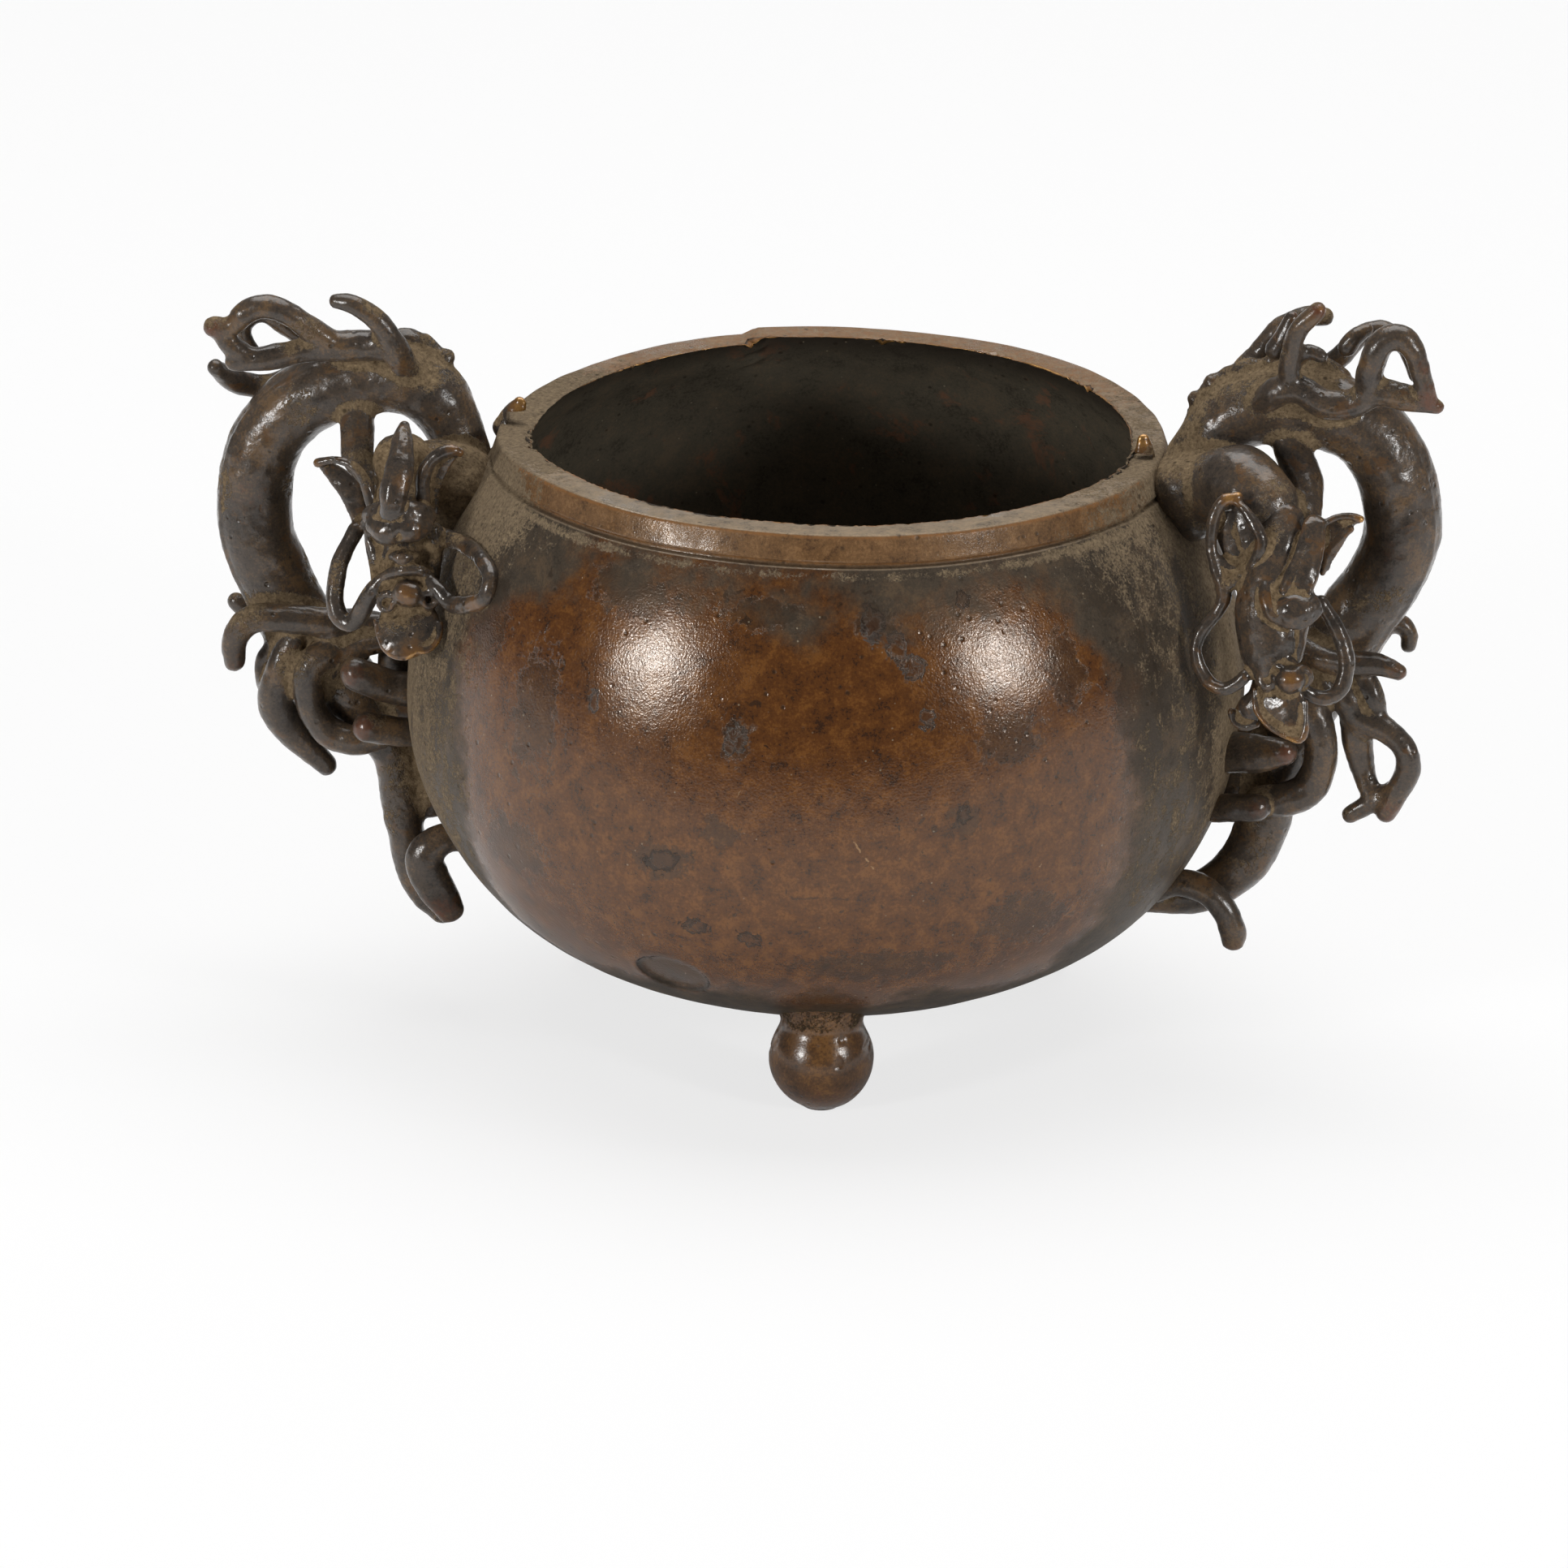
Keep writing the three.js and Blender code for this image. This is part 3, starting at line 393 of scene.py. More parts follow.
def outside_hollow(points):
    """Points pushed out to the middle of the bowl's wall where a root would reach through it."""
    up = points[:, 2] - EQUATOR
    radial = np.hypot(points[:, 0], points[:, 1])
    least = np.where(up < BAND_FOOT, belly_radius(up), RIM_RADIUS) - ROOT_DEPTH
    least = np.where((up < RIM_RISE) & (up > -BELLY_DEPTH), least, 0)
    push = np.maximum(least / np.maximum(radial, 1e-6), 1)
    return points * np.stack([push, push, np.ones(len(points))], axis=1)


def closeness(points, spots, side):
    """How near each point is to marked places of (out, forward, up, reach, strength): the strongest
    of the bell curves round them."""
    total = np.zeros(len(points))
    for out, forward, up, reach, strength in spots:
        place = np.array([side * (BOWL_RADIUS + out), -forward, EQUATOR + up])
        near = np.exp(-((points - place) ** 2).sum(axis=1) / reach**2)
        total = np.maximum(total, strength * near)
    return total


def line_closeness(points, stations, side, width):
    """1 on a line through the stations and falling to 0 as a bell curve of the given width."""
    line = curve_through(on_burner(stations, side), 0.5)[:, :3]
    nearest = np.full(len(points), np.inf)
    for start in range(0, len(line), 8):
        apart = ((points[:, None] - line[None, start : start + 8]) ** 2).sum(axis=2).min(axis=1)
        nearest = np.minimum(nearest, apart)
    return np.exp(-nearest / width**2)


# %% One call makes a finished casting

# The sides of the dragons along X, and the voxels' sizes in millimetres
LEFT, RIGHT = -1, 1
COIL_GRID, FACE_GRID, TANG_GRID = 0.5, 0.3, 0.25


def solids_of(dragon, *parts):
    """The names of a dragon's solids."""
    return [dragon + "_" + part for part in parts]


# How much of a bulge one round of softening takes off, and how wide in millimetres a skin is
# looked at for the hollows that hold dirt and for the bulges that are rubbed
WORN_SHARE = 0.03
WIDE_LOOK, CLOSE_LOOK = 6, 1.5
# The heights of slow waves, sand-sized bumps and crust, in millimetres
WAVE, BUMP, CRUST = 0.24, 0.1, 0.45


def casting(
    name, shapes, side, voxel, nodes, seed, webbing=(28, 0.8), lines=(), dust=(), rub=(), crust=()
):
    """Fuses and softens the shapes, raises or cuts fine lines, and roughens the skin: slow waves of
    the wax, sand-sized bumps, and a coarse crust where dirt sits. webbing is the rounds of
    softening and how far each fills a hollow. The casting stores how dusty and how rubbed each
    point is and stands for the named solids."""
    points, faces = fused(shapes, voxel)
    points = softened(points, faces, *webbing, WORN_SHARE)
    for stations, height, width in lines:
        near = line_closeness(points, stations, side, width)
        points = points + surface_normals(points, faces) * (height * near)[:, None]
    wide_bulge = bulge(points, faces, int(WIDE_LOOK / voxel))
    close_bulge = bulge(points, faces, int(CLOSE_LOOK / voxel))
    normal = surface_normals(points, faces)
    crease = smooth_step(-wide_bulge, -0.12, 0.22)
    dirt = crease + closeness(points, dust, side)
    dirt = dirt + 0.5 * smooth_step(wax_noise(points, 9.0, seed + 31), 0.05, 0.75)
    dirt = dirt + 0.25 * normal[:, 2] * (dirt > 0.2)
    crusty = np.clip(closeness(points, crust, side) + smooth_step(-wide_bulge, 0.05, 0.4), 0, 1)
    height = WAVE * rough_noise(points, 8.0, 2, seed) + BUMP * rough_noise(points, 2.4, 3, seed + 7)
    height = height + CRUST * crusty * rough_noise(points, 1.8, 2, seed + 19)
    points = outside_hollow(points + normal * height[:, None])
    worn = closeness(points, rub, side) + 0.45 * smooth_step(close_bulge, 0.7, 1.7)
    values = {"dirt": np.clip(dirt, 0, 1.3), "rub": np.clip(worn, 0, 1)}
    made = bronze_object(name, points, faces, values)
    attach(made, "root")
    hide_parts(*nodes)
    print(name, "has", len(faces) * 2, "triangles")
    return made


# %% [markdown]
# ## The bowl
#
# The bowl was cast in one and turned smooth, so its surface is one outline carried round the axis.
# The outline runs from the pole under the belly over the widest line and the shoulder, into the
# groove, up the band, over the rim and down the wall inside. No hand-made bowl is true: it is a
# little wider at its two sides than from front to back. The rim stands higher in front, drops at
# a step in the casting behind, and sags at both handles. The shoulder is pressed in beside the
# dragons, and the inner edge is chipped where the handles were joined.

# %% The bowl's outline


def with_round_corners(corners):
    """Corners of (radius, up, rounding) as a fine line: each corner is replaced by a curve that
    starts and ends its rounding away from it."""
    line = [np.array(corners[0][:2], float)[None]]
    for before, here, after in zip(corners, corners[1:], corners[2:]):
        corner = np.array(here[:2], float)
        back = unit(np.array(before[:2], float) - corner) * here[2]
        forth = unit(np.array(after[:2], float) - corner) * here[2]
        share = np.linspace(0, 1, 9)[:, None]
        line.append(corner + back * (1 - share) ** 2 + forth * share**2)
    line.append(np.array(corners[-1][:2], float)[None])
    return np.vstack(line)


def belly_line(radius, rise, power, start, stop, steps):
    """Points of a superellipse between two angles, given in quarter turns."""
    angle = np.linspace(start, stop, steps) * math.pi / 2
    across = np.maximum(np.cos(angle), 0) ** (2 / power)
    return np.stack([radius * across, rise * np.sin(angle) ** (2 / power)], axis=1)


GROOVE_UP = BAND_FOOT - 1.3
shoulder_end = math.asin((GROOVE_UP / SHOULDER_RISE) ** (SHOULDER_FULLNESS / 2)) / (math.pi / 2)
belly = belly_line(BOWL_RADIUS, -BELLY_DEPTH, BELLY_FULLNESS, 0.995, 0, 120)
shoulder = belly_line(BOWL_RADIUS, SHOULDER_RISE, SHOULDER_FULLNESS, 0, shoulder_end, 80)[1:]
rim_corners = [
    (*shoulder[-1], 0.0),
    (RIM_RADIUS - 0.7, GROOVE_UP + 0.2, 0.2),
    (RIM_RADIUS - 0.6, GROOVE_UP + 0.7, 0.2),
    (RIM_RADIUS, GROOVE_UP + 0.95, 0.3),
    (RIM_RADIUS - 1.5, RIM_RISE, 0.8),
    (MOUTH_RADIUS, RIM_RISE - 0.25, 0.6),
    (MOUTH_RADIUS + 2.4, RIM_RISE - 3.4, 1.5),
    (float(belly_radius(50.0)) - WALL, 50.0, 2.0),
    (float(belly_radius(38.0)) - WALL, 38.0, 2.0),
    (float(belly_radius(22.0)) - WALL, 22.0, 3.0),
    (BOWL_RADIUS - WALL, 0.0, 0.0),
]
rim = with_round_corners(rim_corners)[1:]
hollow = belly_line(BOWL_RADIUS - WALL, WALL - BELLY_DEPTH, BELLY_FULLNESS, 0, 0.99, 60)[1:]
outline = np.vstack([belly, shoulder, rim, hollow])

# Rows lie close together at the rim, evenly on the outside and far apart inside
OUTSIDE_SPACING, BAND_SPACING, INSIDE_SPACING = 1.25, 0.42, 3.4
steps = np.linalg.norm(np.diff(outline, axis=0), axis=1)
walked = np.concatenate([[0], np.cumsum(steps)])
belly_end = walked[len(belly) + len(shoulder) - 1]
band_end = belly_end + 24
middle = (walked[1:] + walked[:-1]) / 2
spacing = np.where(middle < band_end, BAND_SPACING, INSIDE_SPACING)
spacing = np.where(middle < belly_end - 3, OUTSIDE_SPACING, spacing)
density = np.concatenate([[0], np.cumsum(steps / spacing)])
row_places = np.interp(np.arange(0, density[-1], 1.0), density, walked)
rows = np.stack([np.interp(row_places, walked, outline[:, k]) for k in range(2)], axis=1)
lip_row = np.hypot(rows[:, 0] - MOUTH_RADIUS, rows[:, 1] - RIM_RISE + 0.25).argmin()
from_lip = row_places - row_places[lip_row]
from_band = row_places - belly_end
print("the bowl's outline has", len(rows), "rows")

# %% Carry the outline round

AROUND = 480
FRONT = math.radians(-92)
even = np.linspace(0, 2 * math.pi, AROUND, endpoint=False)
turns = even - 0.35 * np.sin(even - FRONT)


def all_round(column):
    """One value for each row, given to every point of that row's ring."""
    return column[:, None] * np.ones(AROUND)


def turned_from(turn, there):
    """The angle in degrees from one turn to another the short way, -180 to 180."""
    return (turn - there + 180) % 360 - 180


radius_grid, up_grid = all_round(rows[:, 0]), all_round(rows[:, 1])
turn_grid = turns[None, :] * np.ones((len(rows), 1))
is_inside = all_round(from_lip > 0.3)
on_rim = smooth_step(up_grid, BAND_FOOT - 16, BAND_FOOT - 2)

# The rim sags by up to 2.2 mm from a step behind the left of centre round to the left handle,
# by 0.7 mm more at that handle, and by 1.2 mm at the right handle
STEP_TURN, LEFT_TURN, RIGHT_TURN = 112, 180, 0
degrees = np.degrees(turn_grid) % 360
step_turn = STEP_TURN + 1.2 * np.sin(up_grid * 1.7)
sag = smooth_step(degrees, step_turn - 1.6, step_turn + 1.6)
sag = sag * (1.3 + 0.9 * smooth_step(degrees, 115, 150)) * (1 - smooth_step(degrees, 165, 232))
sag = sag + 0.7 * bell(degrees - LEFT_TURN, 20) + 1.2 * bell(turned_from(degrees, RIGHT_TURN), 32)

# Both sides bulge past the circle, the left one low and the right one higher up
on_left = np.cos(turn_grid) < 0
from_bulge = up_grid - np.where(on_left, 7.0, 18.0)
wider = bell(from_bulge, np.where(from_bulge < 0, 27, 36))
wider = np.where(on_left, 0.037, 0.042) * np.cos(turn_grid) ** 2 * wider
radius_grid = radius_grid * (1 + wider)

# The rim's edge waves a little and stands 1 mm higher in front
edge_wave = 0.22 * np.sin(3 * turn_grid + 1.1) + 0.16 * np.sin(7 * turn_grid + 0.4)
front_share = (1 - np.sin(turn_grid)) / 2
up_grid = up_grid - on_rim * (sag + 0.1) + on_rim * 0.5 * edge_wave
up_grid = up_grid + front_share * smooth_step(up_grid, GROOVE_UP + 0.8, RIM_RISE - 0.8)

# Beside each dragon the shoulder was pressed while the handles' wax was fitted
beside = bell(np.abs(np.cos(turn_grid)) - 0.93, 0.13)
folds = np.sin(turn_grid * 26 + 0.05 * up_grid) * 0.5 + np.sin(turn_grid * 41 + 2)
high = bell(up_grid - 30, 26)
radius_grid = radius_grid - beside * high * (0.35 + 0.28 * folds) * (1 - is_inside)

# The oval seal low on the front is a shallow pan with a soft raised edge
SEAL_TURN, SEAL_UP = math.radians(-107.5), -32.9
SEAL_HALF_WIDTH, SEAL_HALF_HEIGHT, SLANT_OF_WALL = 8.0, 6.0, 1.22
across = (turn_grid - SEAL_TURN + math.pi) % (2 * math.pi) - math.pi
seal_u = across * belly_radius(SEAL_UP) / SEAL_HALF_WIDTH
seal_v = (up_grid - SEAL_UP) / SEAL_HALF_HEIGHT * SLANT_OF_WALL
from_seal = np.sqrt(seal_u**2 + seal_v**2) + (up_grid > 0) * 9
seal_pan = 1 - smooth_step(from_seal, 0.82, 1.0)
seal_edge = bell(from_seal - 1.07, 0.09)
pressed = (-0.85 * seal_pan + 0.14 * seal_edge) * (1 - is_inside)

points = np.stack(
    [radius_grid * np.cos(turn_grid), radius_grid * np.sin(turn_grid), up_grid], axis=2
).reshape(-1, 3)
points = np.vstack([points, [0, 0, rows[0, 1]], [0, 0, rows[-1, 1]]])
faces = facing_out(points, grid_faces(len(rows), AROUND, True))


def with_poles(grid):
    """A grid of values as one list, with the first and the last row's mean for the two poles."""
    return np.concatenate([grid.ravel(), [grid[0].mean(), grid[-1].mean()]])


# %% Roughen the bowl and chip its inner edge

# The chips as (turn in degrees, width in degrees, depth in millimetres)
CHIPS = (
    (191, 4, 2.0), (198, 3, 1.4), (184, 4, 1.1), (352, 5, 1.7), (345, 3, 1.2), (359, 4, 1.4),
    (113, 2.4, 1.0), (88, 5, 1.0), (62, 6, 1.0), (40, 5, 1.2), (140, 6, 0.8),
)

inside_list, rim_list = with_poles(is_inside), with_poles(on_rim)
turn_list, up_list = with_poles(turn_grid), with_poles(up_grid)
normal = surface_normals(points, faces)
wave = -0.22 + 0.25 * wax_noise(points, 34, 3) + 0.05 * rough_noise(points, 7, 2, 5)
fuller = 0.9 * bell(up_list + 38, 13) * (1 - inside_list)
height = np.minimum(wave, 0) + fuller + with_poles(pressed)
height = height + 0.35 * inside_list * rough_noise(points, 14, 3, 11)

lip = with_poles(all_round(bell(from_lip, 1.7)))
at_chip = np.zeros(len(points))
for chip_turn, chip_width, chip_depth in CHIPS:
    gap = turned_from(np.degrees(turn_list), chip_turn)
    at_chip = at_chip + chip_depth * bell(gap, chip_width)
jagged = np.abs(rough_noise(points, 2.2, 3, 23))
height = height - lip * (0.3 + at_chip) * jagged
points = points + normal * height[:, None]


# %% Note where the bowl is rubbed, stained, scarred and dusty, and where shade is painted above the front foot

# Stains and scars as (turn in degrees, up, half width, half height). The stain at turn -82 and up -36 is
# not a stain: it is a dark oval of painted shade on the belly just above the front foot
STAINS_AND_SHADE = (
    (-127, 20, 9, 17), (-131, -10, 12, 9), (-97, 4, 6, 4), (-105, -4, 9, 5), (-56, 22, 9, 7),
    (-33, 22, 11, 22), (-35, 46, 12, 7), (-95, 23, 4, 6), (-75, 46, 5, 5), (-115, 48, 13, 6),
    (-92, 47, 12, 4), (-82, -36, 8.5, 4.5), (-63, 7, 5, 5), (-52, -18, 14, 8), (-74, -26, 22, 5),
    (-140, 34, 8, 12), (-46, 34, 6, 10), (80, 20, 15, 12), (120, -8, 12, 10), (50, 5, 12, 16),
)
SCARS = (
    (-75.5, 46, 3.5, 4), (-72, 41, 3, 4), (-69.5, 37.5, 3.5, 3), (-95, 23, 3, 4.5),
    (-105.5, -4, 5, 3), (-63, 7.5, 2.2, 2.6), (-68, 27.5, 2.4, 2.4), (-101, -18, 4, 2.4),
    (-93, -20, 3.4, 2.4), (-117, 26, 2, 2.6), (-61, 49, 2.2, 2.2),
)


def blots(spots):
    """Soft blots on the bowl: at each point the strongest of them, 1 at a blot's middle."""
    strongest = np.zeros(len(points))
    for turn, up, wide, tall in spots:
        arc = np.radians(turned_from(np.degrees(turn_list), turn)) * BOWL_RADIUS
        blot = np.exp(-((arc / wide) ** 2) - ((up_list - up) / tall) ** 2)
        strongest = np.maximum(strongest, blot)
    return strongest


# 0 in front and behind, 1 at both sides. Behind the bowl it wanders, and so do the patina's borders
wander = rough_noise(points, 24, 3, 41) * smooth_step(np.sin(turn_list), -0.15, 0.25)
ridge_side = np.clip(np.abs(np.cos(turn_list)) + 0.16 * wander, 0, 1)
rubbed = (1 - smooth_step(ridge_side, 0.62, 0.97)) * smooth_step(up_list, -47, -24)
rubbed = rubbed * (1 - 0.6 * smooth_step(up_list, 26, 50)) * (1 - inside_list)
under_rim = bell(up_list - BAND_FOOT + 4, 8) * (1 - inside_list)
dusty = 0.95 * smooth_step(ridge_side, 0.6, 0.93) * smooth_step(up_list, -56, -14) + 0.35 * under_rim
dusty = dusty + 0.9 * smooth_step(ridge_side, 0.955, 0.995) * smooth_step(up_list, -30, 20)
dusty = dusty * np.where(np.cos(turn_list) > 0, 0.74, 1.0)
dusty = np.maximum(dusty, 0.3 * smooth_step(-up_list, 34, 50)) * (1 - inside_list)
strip = with_poles(all_round(bell(from_band + 1.6, 1.7)))
dusty = np.maximum(dusty, (0.75 + 0.7 * ridge_side**2) * strip)
flat_top = rim_list * smooth_step(normal[:, 2], 0.6, 0.95) * (1 - inside_list)

# Metal shows on the lip, on the rim's outer edge and at the band's foot
worn_edges = bell(from_lip + 0.2, 0.45) + 0.6 * bell(from_lip + 7.7, 0.5)
worn_edges = worn_edges + 0.5 * bell(from_band - 1.5, 0.45)
values = {
    "rubbed": rubbed,
    "stained_and_shaded": blots(STAINS_AND_SHADE),
    "scarred": blots(SCARS),
    "dusty": np.clip(dusty, 0, 1.6),
    "inside": inside_list,
    "band": with_poles(all_round(from_band > 0.2)) * (1 - inside_list),
    "flat_top": flat_top,
    "edge": with_poles(all_round(worn_edges)),
    # Along the groove a dark line is painted as the shadow under the band
    "groove": with_poles(all_round(bell(from_band - 0.7, 0.5))),
    "seal": np.concatenate([np.minimum(from_seal, 3).ravel(), [3, 3]]),
}
points[:, 2] += EQUATOR
bowl = bronze_object("bowl_casting", points, faces, values)
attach(bowl, "root")
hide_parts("bowl")
print("the bowl has", len(faces), "triangles and spans", np.ptp(points, axis=0).round(1))

# %% [markdown]
# ## The feet
#
# Each foot is a solid ball on a short neck that flares into the belly. It was cast with the bowl,
# so the neck's skin runs a little way into the wall and leaves no seam. Its underside is worn flat.

# %% Three ball feet

# Heights in millimetres: the worn flat clears the floor by a hair, and the ball starts above it
FLAT_HEIGHT, BALL_START, NECK_TOP = 0.02, 0.25, 27
NECK_BLEND, INTO_WALL = 14, 1.2


def foot_outline():
    """Radius and height from the middle of the worn flat up round the ball and into the neck. Over
    the ball's middle the radius is a soft maximum of the ball's and the neck's: the root of the
    sum of their powers, where both are the blend."""
    low = math.asin((BALL_START - BALL_CENTRE) / BALL_RADIUS)
    angle = np.linspace(low, 0, 36)
    ball = np.stack([BALL_RADIUS * np.cos(angle), BALL_CENTRE + BALL_RADIUS * np.sin(angle)], axis=1)
    flat = np.stack([np.linspace(0.4, ball[0, 0] - 0.3, 8), np.full(8, FLAT_HEIGHT)], axis=1)
    height = np.linspace(BALL_CENTRE, NECK_TOP, 44)[1:]
    part = np.clip((height - BALL_CENTRE) / BALL_RADIUS, 0, 1)
    ball_across = BALL_RADIUS * np.sqrt(1 - part**2)
    across = (ball_across**NECK_BLEND + FOOT_NECK**NECK_BLEND) ** (1 / NECK_BLEND)
    return np.vstack([flat, ball, np.stack([across, height], axis=1)])


def ball_foot(name, turn, seed):
    """A foot turned from the outline, with its top cut to lie a little way inside the bowl's wall."""
    line = foot_outline()
    around = 120
    angle = np.linspace(0, 2 * math.pi, around, endpoint=False)
    x = line[:, :1] * np.cos(angle) + FOOT_CIRCLE * math.cos(turn)
    y = line[:, :1] * np.sin(angle) + FOOT_CIRCLE * math.sin(turn)
    z = line[:, 1:] * np.ones(around)
    middle = np.array([FOOT_CIRCLE * math.cos(turn), FOOT_CIRCLE * math.sin(turn)])
    reach = np.minimum(np.hypot(x, y), 78.0) / BOWL_RADIUS
    skin = EQUATOR - BELLY_DEPTH * (1 - reach**BELLY_FULLNESS) ** (1 / BELLY_FULLNESS)
    below = np.maximum(skin - z, 0)
    flare = 1 + 0.09 * np.exp(-below / 0.8) * smooth_step(z, 15.0, 17.5)
    x, y = middle[0] + (x - middle[0]) * flare, middle[1] + (y - middle[1]) * flare
    z = np.minimum(z, skin + INTO_WALL)
    points = np.stack([x, y, z], axis=2).reshape(-1, 3)
    points = np.vstack([points, [*middle, line[0, 1]], [*middle, z[-1].mean()]])
    faces = facing_out(points, grid_faces(len(line), around, True))
    normal = surface_normals(points, faces)
    pits = smooth_step(wax_noise(points, 2.4, seed + 3), 0.62, 0.9)
    height = -0.12 + 0.12 * wax_noise(points, 7, seed) - 0.25 * pits
    height = np.minimum(height, 0) * smooth_step(points[:, 2], 0.0, 1.0)
    points = points + normal * height[:, None]
    level = points[:, 2]
    # The neck's top under the belly is darkened as painted shade: it is stored as dirt, and the feet's dark
    # dust colour lays it on
    values = {
        "dirt": 0.55 * smooth_step(level, 16.5, 19.5),
        "rub": 0.35 * smooth_step(-level, -13, -4),
    }
    made = bronze_object(name + "_casting", points, faces, values)
    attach(made, "root")
    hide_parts(name)
    return made


feet = [
    ball_foot(name, math.radians(FOOT_TURN - 90 + 120 * i), 31 + i)
    for i, name in enumerate(("foot_front", "foot_back_right", "foot_back_left"))
]
print("made", len(feet), "feet")

# %% [markdown]
# ## The left dragon's coils
#
# The thick coil leaves the shoulder, arches up and out, and runs down to the belly, where it
# thins into the tail. The neck leaves the same root and turns forward to carry the face. Claws
# stand on the arch in front and behind, and more of them grip its lower part and the bowl's wall.
# The places were read from the photograph, with their depth judged from what covers what.

# %% Stations of the left dragon's coils: out, forward, up, radius
FACING = (0, 1, 0.35)
ROOTED = (0.2, 1.0)

left_arch = [
    (-10, 0, 44, 5), (-5.3, 0, 56.4, 6), (-1.2, 0, 62.9, 7), (4.5, 0, 66, 7.1), (12.9, 0, 65.7, 7.3),
    (21.2, 0, 62.9, 7.4), (28.1, 0, 58.2, 7.4), (33.5, 0, 50.2, 7.5), (35.7, 0, 40.9, 7.6),
    (35.2, 0, 31.3, 7.6), (30.7, 0, 19.8, 7.7), (25.4, 0, 9.9, 7.8), (16.9, 0, -1.1, 7.4), (12, 0, -7, 6.3),
]
left_neck = [(-10.3, 4, 43, 7.2), (-8.9, 9, 47.5, 7.4), (-3, 14.5, 50.5, 7.4), (0.6, 18.5, 50, 6.8)]
left_tail = [
    (11.5, 0, -8, 5.5), (7.4, 0, -14.7, 4.3), (5.8, 0, -21.7, 4), (4.4, 1, -29.3, 4),
    (2.3, 2, -37.5, 4), (-1, 4, -43.7, 3.6), (-4.4, 6, -46.8, 2.8),
]
left_tail_web = [(2.1, 0, -9, 4), (1.1, 0, -17, 4.5), (-1.6, 0, -27, 5)]
left_tail_tip = [
    (-12.3, 7, -30, 2.8), (-5.7, 10, -29.2, 3.2), (-1.6, 11, -33.1, 4), (-3.7, 11, -39.2, 4.1),
    (-7.1, 10, -45.6, 2.9),
]
left_nape_strut = [(14.4, 1, 67.8, 3.4), (13.6, 5, 58, 3.4), (12.5, 9.5, 51.5, 3.1), (7, 14, 46.5, 2.8)]
left_mane = [(11.5, -2, 70.8, 2.6), (5.2, -2, 73, 3.1), (0.4, -2, 71.4, 3), (-3.4, -2, 67.2, 2.2)]
left_paws = {
    "fore_paw": [
        [
            (3.8, 5, 70.6, 2.7), (6.7, 5.8, 74.6, 3.1), (13.1, 5.8, 74.6, 3.3), (19.8, 6.2, 73.8, 3.1),
            (25.4, 7.5, 73, 2.6), (31.2, 9, 72, 2.6), (38, 10, 71, 2),
        ],
        [
            (17.5, 6.5, 74.6, 2.8), (22.5, 8, 78, 2.7), (27.4, 9.5, 81.8, 2.5), (32.4, 10, 83, 2.6),
            (35.9, 10.5, 81.4, 2.5), (38.2, 10.5, 78.7, 2.2), (42, 10.5, 78.2, 2.4),
        ],
        [
            (2.6, 5.5, 70.4, 2), (4.7, 7, 74.6, 2.3), (6.9, 8.5, 78.7, 2.3), (10.3, 9.5, 82.6, 2.2),
            (14.2, 10, 84.9, 2), (17, 10, 85.1, 1.5),
        ],
    ],
    "rear_fore_paw": [
        [
            (6, -6.5, 69, 2.6), (13, -7.5, 70, 2.9), (21, -8, 68, 2.9), (28, -8.5, 62.5, 2.6),
            (34.6, -8.5, 59.8, 2.5), (41, -4, 62.3, 2.4), (43.5, 1, 66.4, 1.8),
        ],
        [
            (19, -7.5, 68.6, 2.6), (24.5, -8.5, 70, 2.3), (30.9, -9, 73.1, 2.1), (36, -9, 75, 1.9),
            (39.6, -9, 71.8, 1.8), (37.5, -9.5, 66, 1.7),
        ],
    ],
    "hind_paw": [
        [
            (15, 5.5, 13.6, 3.1), (20, 8.5, 15.6, 3.1), (29.3, 10.3, 16.6, 3.1),
            (35.1, 10.5, 15.6, 3.1), (37.8, 10.5, 11.3, 2.8), (38, 10.5, 6.8, 2.4),
        ],
    ],
    "hind_leg": [
        [
            (26.5, 8, 11.5, 2.6), (29, 9, 4.4, 2.9), (29.7, 8, -2.5, 3.8), (26.3, 6, -9.8, 3.2),
            (19.8, 4.5, -17, 2.3),
        ],
        [(30.5, 5, 10, 1.7), (33.2, 5, 4, 1.7), (31, 6.5, -3, 2)],
    ],
    "rear_hind_paw": [
        [(22, -7, 9, 2.8), (30, -9, 9.5, 2.8), (37.5, -9.5, 9.5, 2.2), (41.4, -9, 12.6, 1.8)],
    ],
    "thigh": [
        [
            (14, 5, 8, 3.1), (18.6, 8.6, 9.2, 3.1), (22.2, 10.3, 6.4, 3.1), (22.7, 10.3, 1.3, 3.1),
            (21.4, 10.3, -3.6, 3.1), (17.8, 10.3, -7.8, 3.1), (12.4, 10.3, -8.8, 3.1),
            (7.9, 9.5, -8.3, 2.7),
        ],
    ],
}
left_toes = {
    "upper_toe": [(-1.9, 8, 2, 3.5), (5.7, 11, 3.7, 3.7), (12.1, 14.5, 7, 3.6)],
    "lower_toe": [(-2.4, 9, -7, 2.8), (3.8, 12, -5.9, 3.1), (9.7, 15, -4.1, 3.1)],
    "hooked_toe": [
        (-2, 6, 11, 2.2), (5, 6.5, 11.6, 2.2), (12.5, 8, 10.3, 2.2), (17.4, 8.3, 8, 2.1),
        (18.9, 6.5, 3.4, 1.9),
    ],
    "wall_brace": [(-1.8, 2, 11, 3.1), (11.9, 4, 14, 3.1), (21, 5, 14.2, 3.1)],
}


def along_arch(arch, middle, forward_share):
    """A line on the skin of an arch: each station moved by its radius away from the arch's middle
    and forward, with the two shares forming a unit step."""
    moved = []
    for out, forward, up, radius in arch:
        away = np.array([out - middle[0], up - middle[1]])
        away = away / np.linalg.norm(away) * math.sqrt(1 - forward_share**2) * radius
        moved.append((out + away[0], forward + forward_share * radius, up + away[1], radius))
    return moved


